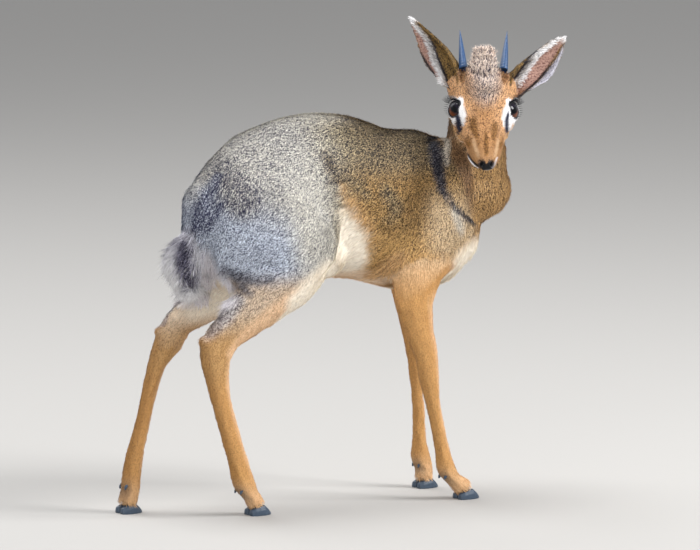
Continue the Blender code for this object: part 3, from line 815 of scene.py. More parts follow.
# neck and breast
neck = faded(parts == "neck", 14)
paint(neck * (1 - band) * (1 - beforeBand), "neck", 0.46, hairLength=8)
nape = ramp(normals[:, 1] - normals[:, 0], 0.1, 1.0) * neck
paint(nape * zone(z=(372, 350)), "olive", 0.5)
paint(neck * zone(x=(128, 146)) * 0.6, "ochre", 0.3)
breastLine = xs * 0.62 - (zs - 240) * 0.8
breast = ramp(breastLine, 53, 64) * zone(z=(274, 258)) * np.isin(parts, ("trunk", "neck", "foreleg"))
paint(breast, "cream", 0.02, hairLength=10)

# legs
isLeg = np.isin(parts, ("foreleg", "fore_cannon", "fore_pastern", "hind_cannon", "hind_pastern"))
isLeg = faded(np.maximum(isLeg, isHind * (1 - zone(z=(178, 214)))), 10)
hind = zone(x=(-60, -90))
paint(isLeg, "tan", 0.35, hairLength=3.6, hairLift=8)
upperFore = zone(z=(196, 262)) * (parts == "foreleg") * (1 - breast)
paint(upperFore, "elbow", 0.22, hairLength=5.5)
paint(upperFore * zone(z=(236, 262)), "shoulder", 0.34)
gaskin = isHind * zone(z=(172, 200, 252, 228))
paint(gaskin * 0.9, "gaskin", 0.4, hairLength=5.5)
# the blue on the outer gaskin is grey hair with a painted cool cast of sky light
outerGaskin = bodyStreak("outerGaskin") * (xs < -60)
paint(outerGaskin * 0.5, "blue", 0.66)
hock = hind * zone(z=(118, 160, 214, 178))
paint(hock * 0.75 * (1 - outerGaskin), "hock", 0.45)
paint(bodyStreak("frontGaskin") * (xs < -40) * 0.75, "legFront", 0.3)
ahead = soften(normals, edges, 6)[:, 0]
frontSide = ramp(ahead, 0.2, 0.75) * (zs < 215)
paint(frontSide * isLeg * zone(z=(30, 60)) * 0.75, "legFront", 0.15)
# painted shade: the backs of the legs darker brown, on the side away from the light, more on the hind legs
backSide = ramp(ahead, -0.2, -0.75) * (zs < 200)
paint(backSide * isLeg * (0.3 + 0.25 * hind), "brown", 0.2)
paint(isLeg * zone(z=(44, 18)) * 0.5, "legFront", 0.2)
fetlock = isLeg * backSide * blob(zs[:, None], 24, 7, 0.8)
paint(fetlock * 0.5, "dark", 0.4)
paint(isLeg * zone(z=(19, 13)), hairLength=5.5, hairLift=12)
inner = ramp(outward, -0.2, -0.7) * isHind
paint(inner * zone(z=(178, 205)), "cream", 0.08, hairLength=6)
paint(inner * blob(side3, (-168, 60, 200), (16, 60, 34), 0.7) * 0.7, "gaskin", 0.25)

# pale patch behind the ribs and belly
paleEdge = {"z": (228, 237, 247, 268, 284, 300, 319, 330), "x": (14, 17, 19, 13, 7, -5, -18, -24)}
edgeX = np.interp(zs, paleEdge["z"], paleEdge["x"])
measures["past"] = pastThighEdge(points)
trunkOnly = faded(np.isin(parts, ("trunk", "neck", "tail")), 3)
patch = ramp(edgeX - xs, -4, 4) * zone(past=(-1.2, 0.8), z=(324, 308)) * (np.abs(xs) < 80)
belly = zone(z=(243, 231), x=(60, 46, -120, -100)) * trunkOnly
paint(np.maximum(patch * trunkOnly, belly), "cream", 0.06, hairLength=9, hairLift=8)
paint(belly * zone(z=(252, 236)) * 0.5, "legFront", 0.1)
paint(isHind * zone(past=(-19, -5, 30, 20), z=(268, 246, 172, 196)), "cream", 0.08)
# locks of the flank that hang over the pale patch, and tufts behind the elbow and on the rump
fringe = streak(side3, [(-18, 58, 322), (-3, 58, 304), (10, 58, 286), (17, 56, 268), (25, 52, 250)], 5.5, 0.7)
paint(fringe * 0.9, "fringe", 0.22, hairLength=13, longHair=0.6)
paint(bodyStreak("elbow") * (zs < 275), "fringe", 0.22, hairLength=16, longHair=1, hairLift=9)
onRear = (xs < -60) * (parts != "tail")
rumpHair = strokes(seen, bodyStreaks["rumpHair"]) * onRear
paint(rumpHair, "brush", 0.12, hairLength=19, longHair=1, hairLift=13)
lie = laidFlat(mix(lie, (0.12, 0, -1.0), rumpHair))
paint(bodyStreak("groove") * onRear * 0.75, "navy", 0.54, longHair=0, hairLength=7)
# painted shade: the far hind leg darker brown low down, away from the light
paint(isLeg * hind * (ys > midline) * zone(z=(150, 90)) * 0.3, "brown", 0.2)
paint(isLeg, bodyHair=0, shortHair=1)
paint(upperFore * zone(z=(205, 240)), bodyHair=0.9, shortHair=0.3)
paint(gaskin * zone(z=(186, 204)), bodyHair=0.9, shortHair=0.3)

# tail: dark down the middle, pale long hair along its sides and underneath
tail = faded(parts == "tail", 5)
paint(tail, "smoke", 0.34, hairLength=16.5, hairLift=20, longHair=1, bodyHair=0.4)
core = bodyStreak("tail")
paint(core * tail, "violet", 0.62)
paint(tail * (1 - core) * zone(z=(296, 266)), "white", 0.12, hairLength=18)

# head
paint(faded(nearHead, 4), "rufous", 0.34, hairLength=3.2, hairLift=11, bodyHair=0, shortHair=1)
onHead = nearHead & (parts != "ear")
mid = np.stack([forward, np.abs(left), up], 1)  # both sides of the head as one


def faceStreak(name, past=-math.inf):
    # only in front of the place along the head
    return strokes(faceSeen, faceStreaks[name]) * onHead * (forward > past)


paint(zone(forward=(26, 4), up=(12, 26)) * onHead, "rufous", 0.42, hairLength=4.5)
paint(zone(forward=(36, 52)) * onHead, "muzzle", 0.14, hairLength=2)
paint(zone(up=(-2, -14), forward=(36, 0)) * onHead * 0.7, "fringe", 0.3, hairLength=4.5)
paint(faceStreak("between") * faceFacing * 0.7, "tawny", 0.34)
paint(faceStreak("bridge") * faceFacing * 0.9, "brown", 0.6)
paint(faceStreak("patches") * faceFacing * 0.9, "brown", 0.5)
besideBridge = streak(mid, [(56, 7.5, 0.5), (46, 9.5, 4), (36, 12, 6)], (1.2, 2.0, 1.4), 0.9)
paint(besideBridge * onHead * 0.6, "brown", 0.4)
paint(blob(mid, (43, 17, -5), (7, 6, 6), 0.8) * onHead * 0.65, "brown", 0.4)
paint(streak(mid, [(66, 7, -6), (56, 10.5, -3), (47, 13, 0)], 1.8, 0.9) * onHead * 0.5, "muzzlePale", 0.05)

# round the eyes: places from the nearer eyeball, along its opening, up and out
view = np.where(left[:, None] < 0, eyeView(points, "right"), eyeView(points, "left"))
lidAlong, lidUp = view[:, 0], view[:, 1]
toEye = np.linalg.norm(view, axis=1)
ring = {"width": 5.6, "below": 2.4, "ahead": 1.2, "edge": 0.6}  # mm of white round the lids
lidEdge = np.where(toEye < 26, opening(view), 99.0)
reach = ring["width"] + ring["below"] * ramp(lidUp, -1, -7) - ring["ahead"] * ramp(lidAlong, -2, -10)
white = (1 - ramp(lidEdge, reach - ring["edge"], reach + ring["edge"])) * onHead * zone(forward=(25, 20))
white = np.maximum(white, faceStreak("white") * faceFacing)
paint(white, "white", 0, hairLength=2.4)
paint(faceStreak("gland", 8) * faceFacing, "gland", 0.7, bareSkin=0.4, shortHair=0.3)
lidEdge = np.where(toEye < 15.5, lidEdge, 99.0)
paint(1 - ramp(lidEdge - 1.3 * ramp(lidUp, 0, 4), 0.8, 1.7), "black", 1, bareSkin=1, shortHair=0)

# nose, chin and lips
nosePad = faceStreak("nosePad", 62) * (1 - faceStreak("noseNotch"))
nosePad = np.maximum(nosePad, blob(mid, (77, 0, -11.5), (5, 5.6, 3.4), 0.16)) * onHead
paint(nosePad, "black", 1, bareSkin=1, shortHair=0)
paint(zone(up=(-17, -20), forward=(50, 60)) * onHead, "white", 0, hairLength=2)
mouth = streak(mid, mouthLine, 0.8, 0.5) * onHead * zone(forward=(46, 60))
paint(mouth * 0.8, "black", 1, shortHair=0.2)
lip = np.maximum(faceStreak("lip", 34), 0.45 * faceStreak("farLip", 50) * (1 - nosePad))
paint(lip, "lip", 0, hairLength=2)
paint(faceStreak("lipLine", 40), "black", 1, shortHair=0.2)
paint(zone(up=(-26, -32), forward=(44, 20)) * onHead * (1 - faceFacing), "white", 0.05)

# crown, and the crest of long hair between the horns
paint(blob(head, (-16, 0, 30), (30, 15, 22), 0.5) * onHead, "crown", 0.46, hairLength=5.5)
paint(blob(head, (-27, -1.5, 42), (17, 17, 16), 0.3) * onHead, "crown", 0.3, hairLength=6)
crest = blob(head, (-25, -1, 34), (16, 13.5, 19), 0.3) * onHead
paint(crest, "crown", 0.36, hairLength=9, hairLift=40, longHair=1, shortHair=0.8)
roundHorn = np.exp(-((np.linalg.norm(mid - (-30, 19.5, 31), axis=1) / 7.5) ** 4)) * onHead
paint(roundHorn, "dark", 0.8, hairLength=5)

# ears: olive-brown outside with a black edge, a white furred rim, a pinkish hollow
earLook = {
    "front": (-0.5, -0.86, 0.12),  # the way that both hollows face
    "rimWide": (1.1, 2.6),  # mm of white fur on the inner rim, at the tip and at the base
    "lineWide": 1.3,  # mm of black along each edge
    "ridge": 0.9,  # mm that the rim stands up
    "hollow": 0.9,  # mm that the hollow sinks
}
# along each inner rim and along the outer edge of each hollow, from the tip down, in mm
earLines = {
    "ear_right": {
        "rim": [
            (88, 31, 485), (95, 27, 476), (101, 21, 467), (106, 19, 455),
            (109, 17, 443), (112, 12, 429), (114, 6, 414),
        ],
        "low": [
            (88, 32, 480), (91, 31, 471), (94, 28, 460), (96.5, 25, 450),
            (100.5, 21.5, 441), (107, 15, 428), (111, 8, 416),
        ],
    },
    "ear_left": {
        "rim": [
            (223, -44, 468), (208.7, -42, 460.6), (194.9, -40.7, 452), (189, -34, 442),
            (183, -29, 430), (176, -28, 420), (170, -32, 411),
        ],
        "low": [
            (221, -43, 457), (213.9, -39.7, 443.9), (209, -37.4, 436), (200.7, -34.6, 425.3),
            (191.8, -32.5, 417), (184, -33, 412), (174, -35, 406),
        ],
    },
}


def earPlaces(name):
    # down the ear from its tip, out past the rim, out past the outer line, and the two ways
    rim, low = [np.array(earLines[name][line], float) for line in ("rim", "low")]
    along = (rim[-1] - rim[0]) / np.linalg.norm(rim[-1] - rim[0])
    across = np.cross(earLook["front"], along)
    across *= np.sign((low.mean(0) - rim.mean(0)) @ across) / np.linalg.norm(across)
    down = (body - rim[0]) @ along
    out = (body - rim[0]) @ across
    pastRim, pastLow = [
        out - np.interp(down, (line - rim[0]) @ along, (line - rim[0]) @ across) for line in (rim, low)
    ]
    return down, pastRim, pastLow, along, across


earShape = np.zeros(len(points))
for name in ("ear_left", "ear_right"):
    down, pastRim, pastLow, along, across = earPlaces(name)
    mine = owners == name
    front = ramp(normals @ np.array(earLook["front"]), -0.15, 0.25) * mine
    paint(mine, "earBack", 0.45, hairLength=3.2, hairLift=7, bodyHair=0, shortHair=1)
    wide = np.interp(down, (0, 70), earLook["rimWide"])
    hollow = ramp(pastRim, 0, 2.5) * ramp(pastLow, 0, -1.5) * front
    paint(hollow, "concha", 0.35, hairLength=4, shortHair=0.35, bareSkin=0.3)
    paint(hollow * ramp(down, 62, 80) * 0.7, "muzzle", 0.3)
    paint(ramp(pastLow, 1.0, 2.2) * front, "silver", 0.3, hairLength=4)
    outerLine = np.exp(-((pastLow / earLook["lineWide"]) ** 2)) * ramp(down, 26, 40)
    rimLine = np.exp(-(((pastRim + wide * 1.5) / earLook["lineWide"]) ** 2)) * ramp(down, 20, 34)
    paint(outerLine * front, "dark", 0.7)
    paint(rimLine * front, "dark", 0.85)
    white = np.exp(-((pastRim / wide) ** 4)) * front
    paint(white, "white", 0.03, hairLength=6, longHair=0.8, hairLift=20)
    paint(ramp(down, 9, 3) * mine, "white", 0, hairLength=2.5)
    inward = 0.75 * across - 0.65 * along
    lie[mine] = mix(lie, inward, white + 0.8 * hollow)[mine]
    ridge = earLook["ridge"] * np.exp(-((pastRim / wide) ** 2))
    earShape += front * (ridge - earLook["hollow"] * hollow) * ramp(down, 6, 20)
points = points + normals * soften(earShape, edges, 2) * mm
placePoints(skin.data, points)
lie = laidFlat(lie)

addAttribute(skin.data, "lie", "FLOAT_VECTOR", lie)
for name, colours in (("lightHair", marks.light), ("darkHair", marks.dark)):
    addAttribute(skin.data, name, "FLOAT_COLOR", np.hstack([colours, np.ones((len(points), 1))]))
for name, values in marks.values.items():
    addAttribute(skin.data, name, "FLOAT", values)
print("markings painted")

# an unwrap of the skin, which tells each tuft its place in a bake

def unwrapSkin():
    bpy.context.view_layer.objects.active = skin
    skin.select_set(True)
    bpy.ops.object.mode_set(mode="EDIT")
    bpy.ops.mesh.select_all(action="SELECT")
    skin.data.uv_layers.new(name="unwrap")
    bpy.ops.uv.smart_project(angle_limit=math.radians(66), island_margin=0.004, scale_to_bounds=True)
    bpy.ops.object.mode_set(mode="OBJECT")


unwrapSkin()
print("skin unwrapped")

# finishes

def hairTone(net, share, shade):
    # a banded hair: dark where shade falls under its share of dark hairs
    light = net.attribute("lightHair", "Color")
    dark = net.attribute("darkHair", "Color")
    return net.blend(net.smooth(shade, share - 0.04, share + 0.04), dark, light)


skinLook = {
    "fleck": 620, "grain": 1500,  # scale of the ticking and of the finest grain
    "darkest": 0.3, "darkRange": 0.4,  # how the share of dark hairs counts on the skin
    "grainShade": (0.82, 0.36),  # brightness where there is no grain, and what grain adds
    # the skin under the long coat gets painted shade
    "shadeUnderCoat": 0.7,  # brightness under the long coat
    "roughness": 0.75, "bareGloss": 0.35,  # and how much less rough bare skin is
    "bump": 0.35, "bareFlat": 0.6,  # mm of relief, and how much of it bare skin loses
}


def skinFinish():
    material, net, shader = newMaterial("short_fur", roughness=skinLook["roughness"], specular=0.25)
    place = net.place()
    share = net.attribute("darkShare")
    bare = net.attribute("bareSkin")
    fleck = net.noise(place, skinLook["fleck"], 2.0, 0.6)
    grain = net.noise(place, skinLook["grain"], 2.0, 0.7)
    colour = hairTone(net, share * skinLook["darkRange"] + skinLook["darkest"], fleck)
    low, more = skinLook["grainShade"]
    colour = colour * (low + grain * more)
    under = net.attribute("bodyHair")
    # painted shade: the skin darker where the long coat covers it, as deep under the tufts
    colour = colour * (1 - under * (1 - skinLook["shadeUnderCoat"]))
    rough = skinLook["roughness"] - bare * skinLook["bareGloss"]
    height = (fleck * 0.5 + grain) * (1 - bare * skinLook["bareFlat"])
    feed(net, shader, Base_Color=colour, Roughness=rough)
    feed(net, shader, Normal=bump(net, height, skinLook["bump"] * mm))
    return material


coatLook = {
    "roughness": 0.62,
    "fleck": 950,  # scale of the ticking that crosses the tufts
    "ticking": 0.48,  # its share of the ticking, beside that of each tuft
    "shortSpared": 0.35,  # how much less of that ticking the short hair of face and legs has
    # rootShade is painted shade: a tuft darker toward its root, as where the tufts shade each other
    "rootShade": 0.72,  # how dark a tuft is at its root
    "tipFrom": 0.84,  # where along a tuft its ticked tip begins
    "spread": 0.22,  # how much tufts differ in brightness
    "soft": 0.03,  # how softly the tip begins, as a share of the length
}


def coatFinish():
    material, net, shader = newMaterial("coat", roughness=coatLook["roughness"], specular=0.3)
    along = net.attribute("along")
    chance = net.attribute("chance")
    second = net.attribute("chanceTwo")
    third = net.attribute("chanceThree")
    share = net.attribute("darkShare")
    fleck = net.smooth(net.noise(net.place(), coatLook["fleck"], 1.0), 0.4, 0.6)
    across = coatLook["ticking"] * (1 - net.attribute("shortHair") * coatLook["shortSpared"])
    chance = fleck * across + chance * (1 - across)
    third = fleck * across + third * (1 - across)
    tip = net.smooth(along, coatLook["tipFrom"] - coatLook["soft"], coatLook["tipFrom"] + coatLook["soft"])
    colour = net.blend(tip, hairTone(net, share, chance), hairTone(net, share, third))
    # painted shade darker toward each tuft's root, times a random brightness for each tuft
    root = net.smooth(along, 0.0, 0.6)
    shade = coatLook["rootShade"] + root * (1 - coatLook["rootShade"])
    shade = shade * (1 - coatLook["spread"] / 2 + second * coatLook["spread"])
    feed(net, shader, Base_Color=colour * shade)
    return material


# the coat: tufts laid over the skin

def makeTuft(name, finish, bends, thickness=0.3):
    # a closed spindle along +Z: rings of three, or only two points where it is a flat flake
    mesh = bmesh.new()
    rings = []
    for z, wide, bow, corners in bends:
        across = {1: [(0, 0)], 2: [(0, 0.5), (0, -0.5)], 3: [(thickness, 0), (0, 0.5), (0, -0.5)]}[corners]
        rings.append([mesh.verts.new((bow + x * wide, y * wide, z)) for x, y in across])
    for a, b in zip(rings, rings[1:]):
        if len(a) < 3 and len(b) < 3:
            continue
        for k in range(3):
            n = (k + 1) % 3
            face = [a[k % len(a)], a[n % len(a)], b[n % len(b)], b[k % len(b)]]
            mesh.faces.new(list(dict.fromkeys(face)))
    if len(rings[1]) == 2:
        root, (one, two), tip = rings[0][0], rings[1], rings[2][0]
        for face in ((root, one, two), (one, tip, two), (root, tip, one), (root, two, tip)):
            mesh.faces.new(face)
    bmesh.ops.recalc_face_normals(mesh, faces=mesh.faces)
    bmesh.ops.triangulate(mesh, faces=mesh.faces)
    made = settled(mesh, name)
    if len(rings[1]) == 3:
        made.shade_smooth()
    made.materials.append(finish)
    places = pointsOf(made)
    addAttribute(made, "along", "FLOAT", places[:, 2].clip(0, 1))
    addAttribute(made, "acrossTuft", "FLOAT", places[:, 1] + 0.5)
    return newObject(name, made)


def coatTree():
    tree = bpy.data.node_groups.new("lay_coat", "GeometryNodeTree")
    sockets = {
        "Skin": "NodeSocketGeometry", "Tuft": "NodeSocketObject", "Where": "NodeSocketString",
        "Density": "NodeSocketFloat", "Seed": "NodeSocketInt", "Length": "NodeSocketFloat",
        "Width": "NodeSocketFloat", "Ruffle": "NodeSocketFloat", "Patch": "NodeSocketFloat",
        "Finish": "NodeSocketMaterial",
    }
    for name, kind in sockets.items():
        tree.interface.new_socket(name, in_out="INPUT", socket_type=kind)
    tree.interface.new_socket("Coat", in_out="OUTPUT", socket_type="NodeSocketGeometry")
    net = Net(tree)
    start = tree.nodes.new("NodeGroupInput")
    given = {name: Wire(net, start.outputs[name]) for name in sockets}

    def named(name, kind="FLOAT"):
        return net.node("GeometryNodeInputNamedAttribute", {"data_type": kind}, {"Name": name})

    def chance(low, high, seed, kind="FLOAT"):
        inputs = {"Min": low, "Max": high, "Seed": seed}
        return net.node("FunctionNodeRandomValue", {"data_type": kind}, inputs)

    def store(geometry, name, value, kind="FLOAT", domain="POINT"):
        settings = {"data_type": kind, "domain": domain}
        inputs = {"Geometry": geometry, "Name": name, "Value": value}
        return net.node("GeometryNodeStoreNamedAttribute", settings, inputs)

    where = named(given["Where"])
    points = net.node("GeometryNodeDistributePointsOnFaces", {"distribute_method": "RANDOM"}, {
        "Mesh": given["Skin"], "Density": given["Density"] * where, "Seed": given["Seed"]})
    normal = points.out("Normal")
    for name, seed in (("chance", 1), ("chanceTwo", 2), ("chanceThree", 7)):
        points = store(points, name, chance(0.0, 1.0, seed))
    ruffle = chance((-1, -1, -1), (1, 1, 1), 3, "FLOAT_VECTOR") * given["Ruffle"]
    lift = named("hairLift") * (math.pi / 180) * chance(0.6, 1.5, 4)
    level = named("lie", "FLOAT_VECTOR") + ruffle
    rise = net.node("ShaderNodeMath", {"operation": "TANGENT"}, {0: lift})
    way = level + normal * rise
    along = net.node("FunctionNodeAlignRotationToVector", {"axis": "Z"}, {"Vector": way})
    turn = net.node("FunctionNodeAlignRotationToVector", {"axis": "X", "pivot_axis": "Z"}, {
        "Rotation": along, "Vector": normal})
    long = named("hairLength") * given["Length"] * chance(0.7, 1.2, 5) * mm
    wide = given["Width"] * chance(0.7, 1.3, 6) * mm
    size = net.node("ShaderNodeCombineXYZ", None, {"X": wide, "Y": wide, "Z": long})
    tuft = net.node("GeometryNodeObjectInfo", None, {"Object": given["Tuft"]}, out="Geometry")
    laid = net.node("GeometryNodeInstanceOnPoints", None, {
        "Points": points, "Instance": tuft, "Rotation": turn, "Scale": size})
    solid = net.node("GeometryNodeRealizeInstances", None, {"Geometry": laid})
    root = named("unwrap", "FLOAT_VECTOR")
    patch = net.node("ShaderNodeCombineXYZ", None, {"X": named("acrossTuft"), "Y": named("along")})
    spot = root + (patch - (0.5, 0.5, 0.0)) * given["Patch"]
    solid = store(solid, "OFBake", spot, "FLOAT2", "CORNER")
    dressed = net.node("GeometryNodeSetMaterial", None, {"Geometry": solid, "Material": given["Finish"]})
    end = tree.nodes.new("NodeGroupOutput")
    tree.links.new(dressed.socket, end.inputs["Coat"])
    return tree


layerFields = ("pieces", "tufts", "where", "length", "width", "ruffle", "tuft")
coatLayers = {
    # pieces, tufts in each, where they grow, share of the hair's length, width in mm, ruffle, tuft
    "coat_under": (3, 48500, "bodyHair", 0.85, 0.68, 0.13, "flake"),
    "coat_over": (2, 48500, "bodyHair", 1.0, 0.56, 0.17, "flake"),
    "coat_short": (2, 42000, "shortHair", 1.0, 0.5, 0.13, "flake"),
    "coat_long": (1, 14000, "longHair", 1.1, 0.74, 0.36, "lock"),
}
tuftShapes = {
    # along its length, how wide, how far bowed out, and the points round it
    "flake": [(-0.05, 0, -0.3, 1), (0.6, 1.0, 0.15, 2), (1.0, 0, 0.0, 1)],
    "lock": [(-0.04, 0, -0.1, 1), (0.3, 1.0, 0.5, 3), (0.68, 0.75, 0.9, 3), (1.0, 0, 0.2, 1)],
}
bakePatch = 0.003  # how much of the skin's unwrap a tuft takes
keptOnTufts = (
    "lightHair", "darkHair", "darkShare", "shortHair", "chance", "chanceTwo", "chanceThree", "along",
    "OFBake", "position", "sharp_face",
)


def grownArea(where):
    area = gather(skin.data.polygons, "area", 1)[:, 0]
    corners = gather(skin.data.loops, "vertex_index", 1, np.int32).reshape(-1, 3)
    return float((area * marks.values[where][corners].mean(1)).sum())


def layCoat(tree, name, layer, tuft, seed, finish):
    piece = newObject(name, skin.data)
    modifier = piece.modifiers.new("coat", "NODES")
    modifier.node_group = tree
    given = {
        "Tuft": tuft, "Where": layer["where"], "Density": layer["tufts"] / grownArea(layer["where"]),
        "Seed": seed, "Length": layer["length"], "Width": layer["width"], "Ruffle": layer["ruffle"],
        "Patch": bakePatch, "Finish": finish,
    }
    for item in tree.interface.items_tree:
        if item.in_out == "INPUT" and item.name in given:
            modifier[item.identifier] = given[item.name]
    mesh = evaluated(piece)
    mesh.name = name
    for attribute in [a.name for a in mesh.attributes]:
        if attribute not in keptOnTufts and not attribute.startswith("."):
            mesh.attributes.remove(mesh.attributes[attribute])
    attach(piece, "root")
    print(name, len(mesh.polygons), "triangles")


coatMaterial = coatFinish()
tufts = {name: makeTuft(name, coatMaterial, bends) for name, bends in tuftShapes.items()}
tree = coatTree()
skin.data.materials.clear()
skin.data.materials.append(skinFinish())
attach(skin, "root")
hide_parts(*fleshNodes)
seed = 1
for layerName, row in coatLayers.items():
    layer = dict(zip(layerFields, row))
    for k in range(layer["pieces"]):
        name = f"{layerName}_{k + 1}" if layer["pieces"] > 1 else layerName
        layCoat(tree, name, layer, tufts[layer["tuft"]], seed, coatMaterial)
        seed += 1
for tuft in tufts.values():
    bpy.data.objects.remove(tuft)

# eyes, lashes, horns, hooves

eyeLook = {
    "rings": 40,
    "clearance": 0.25,  # mm under the lids' inner face
    "pupil": (0.42, 0.26), "iris": 0.74,  # half sizes, as shares of the radius
    # the iris is brown (lower); the dark upper tone is a painted reflection of the sky and painted shade of
    # the upper lid
    "black": (3, 4, 8), "lower": (112, 62, 34), "upper": (26, 22, 34), "rim": (10, 10, 14),
    "finish": {"roughness": 0.06, "specular": 0.12, "Coat_Weight": 0.22, "Coat_Roughness": 0.03},
}


def placed(name, mesh, finish, replaced):
    bmesh.ops.recalc_face_normals(mesh, faces=mesh.faces)
    made = settled(mesh, name)
    made.shade_smooth()
    made.materials.append(finish)
    piece = newObject(name, made)
    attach(piece, "root")
    if replaced:
        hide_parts(*replaced)


def plainFinish(name, colour, **looks):
    material, net, shader = newMaterial(name, **looks)
    shader.inputs["Base Color"].default_value = (*colour, 1)
    return material


def grainFinish(name, look):
    # streaks along one way, as in horn
    material, net, shader = newMaterial(name, roughness=look["roughness"])
    grain = net.noise(net.place() * look["stretch"], look["scale"], 3.0, 0.6)
    colour = net.blend(grain, *[tone(*t) for t in look["tones"]])
    feed(net, shader, Base_Color=colour)
    feed(net, shader, Normal=bump(net, grain, look["relief"] * mm))
    return material


def joinRings(mesh, rings):
    for a, b in zip(rings, rings[1:]):
        for j in range(len(a)):
            n = (j + 1) % len(a)
            mesh.faces.new((a[j], a[n], b[n], b[j]))


def eyeFinish(side):
    material, net, shader = newMaterial("eye_" + side, **eyeLook["finish"])
    away = net.place() - tuple(float(c) for c in eyeMiddle[side])
    black, lower, upper, rimTone = [tone(*eyeLook[name]) for name in ("black", "lower", "upper", "rim")]
    axes = eyeAxes(side) @ headAxes.T / eyeRadius
    front, upward = [
        net.node("ShaderNodeVectorMath", {"operation": "DOT_PRODUCT"}, {0: away, 1: tuple(a)}, out="Value")
        for a in axes[:2]
    ]
    long, high = eyeLook["pupil"]
    oval = (front * front) / long ** 2 + (upward * upward) / high ** 2
    rim = front * front + upward * upward
    # brown iris below, and above it the painted reflection of the sky and shade of the upper lid
    iris = net.blend(net.smooth(upward, -0.62, 0.0), lower, upper)
    colour = net.blend(net.smooth(oval, 0.8, 1.1), black, iris)
    colour = net.blend(net.smooth(rim, eyeLook["iris"] ** 2, 0.7), colour, rimTone)
    feed(net, shader, Base_Color=colour)
    return material


print("making eyes, lashes, horns and hooves")
for side in sides:
    ball = bmesh.new()
    turn = Matrix([list(row) for row in (eyeAxes(side) @ headAxes.T).T])
    where = Matrix.Translation(Vector(eyeMiddle[side])) @ turn.to_4x4()
    rings = eyeLook["rings"]
    radius = eyeRadius - eyeLook["clearance"] * mm
    bmesh.ops.create_uvsphere(ball, u_segments=rings, v_segments=rings // 2, radius=radius, matrix=where)
    placed("eyeball_" + side, ball, eyeFinish(side), ["eye_" + side])

lashLook = {
    "count": 26, "lower": 9,  # on the upper lid and on the lower one
    "length": 11, "inner": 0.55,  # mm at the outer corner, and the share of it at the inner one
    "lowerShare": 0.55,  # how long the lower ones are beside the upper
    "ring": (1.02, 1.06, 0.5),  # wider and higher than the opening, and mm out from the eyeball
    "radius": 0.36, "taper": 0.7,  # mm, and the share that is lost by the tip
    "from": 70, "over": 112,  # degrees round the opening
    "curl": 0.16, "steps": 4,
}


def addSpike(mesh, path, radii, corners=3):
    # a closed tube round a path, with a point at each end
    rings = []
    for k in range(1, len(path) - 1):
        ahead = (path[k + 1] - path[k - 1]).normalized()
        one = ahead.orthogonal().normalized()
        two = ahead.cross(one)
        turns = [2 * math.pi * j / corners for j in range(corners)]
        around = [(one * math.cos(t) + two * math.sin(t)) * radii[k] for t in turns]
        rings.append([mesh.verts.new(path[k] + out) for out in around])
    first, last = mesh.verts.new(path[0]), mesh.verts.new(path[-1])
    joinRings(mesh, rings)
    for j in range(corners):
        n = (j + 1) % corners
        mesh.faces.new((first, rings[0][n], rings[0][j]))
        mesh.faces.new((last, rings[-1][j], rings[-1][n]))


def makeLashes(side, finish):
    mesh = bmesh.new()
    radius = eyeRadius / mm
    axes = eyeAxes(side)
    middle = toHead(eyeMiddle[side][None])[0]
    rows = [(k / (lashLook["count"] - 1), 1, 1.0) for k in range(lashLook["count"])]
    rows += [(k / (lashLook["lower"] - 1), -1, lashLook["lowerShare"]) for k in range(lashLook["lower"])]
    for share, row, size in rows:
        angle = math.radians(lashLook["from"] + lashLook["over"] * share) * row
        wider, higher, outer = lashLook["ring"]
        across = eyeShape["halfLength"] * radius * wider * math.cos(angle)
        over = eyeShape["halfHeight"] * radius * higher * math.sin(angle)
        out = math.sqrt(max(1.0, (radius + outer) ** 2 - across**2 - over**2))
        start = np.array((across, over, out))
        way = np.array((-0.3 - 0.4 * share, 0.35 - 0.65 * share if row > 0 else -0.3, 0.68))
        length = lashLook["length"] * size * (lashLook["inner"] + (1 - lashLook["inner"]) * share)
        path = []
        for k in range(lashLook["steps"] + 1):
            t = k / lashLook["steps"]
            bent = way + np.array((-0.2, lashLook["curl"] * row, -0.3)) * t
            path.append(start + bent / np.linalg.norm(way) * length * t)
        path = [Vector(fromHead(p @ axes + middle)) for p in path]
        narrow = [1 - k / lashLook["steps"] * lashLook["taper"] for k in range(len(path))]
        addSpike(mesh, path, [lashLook["radius"] * mm * share for share in narrow])
    placed("lashes_" + side, mesh, finish, [])


lashMaterial = plainFinish("lashes", tone(20, 22, 30), roughness=0.5, specular=0.3)
for side in sides:
    makeLashes(side, lashMaterial)

hornLook = {
    "rings": 7,  # ridges round the foot
    "ridge": 0.045,  # how far they stand out, as a share of the radius
    "reach": 0.42,  # share of the length that has them
    "root": (-43, 18.5, 15), "bend": (-34.5, 20.3, 25.5),  # along the head, in mm
    "buried": 0.16,  # share of the length that lies before the bend
    "radius": 4.7,  # mm at the foot
    "tip": 0.12,  # mm of radius that is left at the tip
    "steps": 90, "around": 28,
    "flat": 0.92,  # how wide it is one way, as a share of the other
}
hornFinish = {
    "roughness": 0.34, "stretch": (1.0, 1.0, 0.25), "scale": 900, "relief": 0.12,
    "tones": ((8, 34, 66), (46, 90, 140)),
}


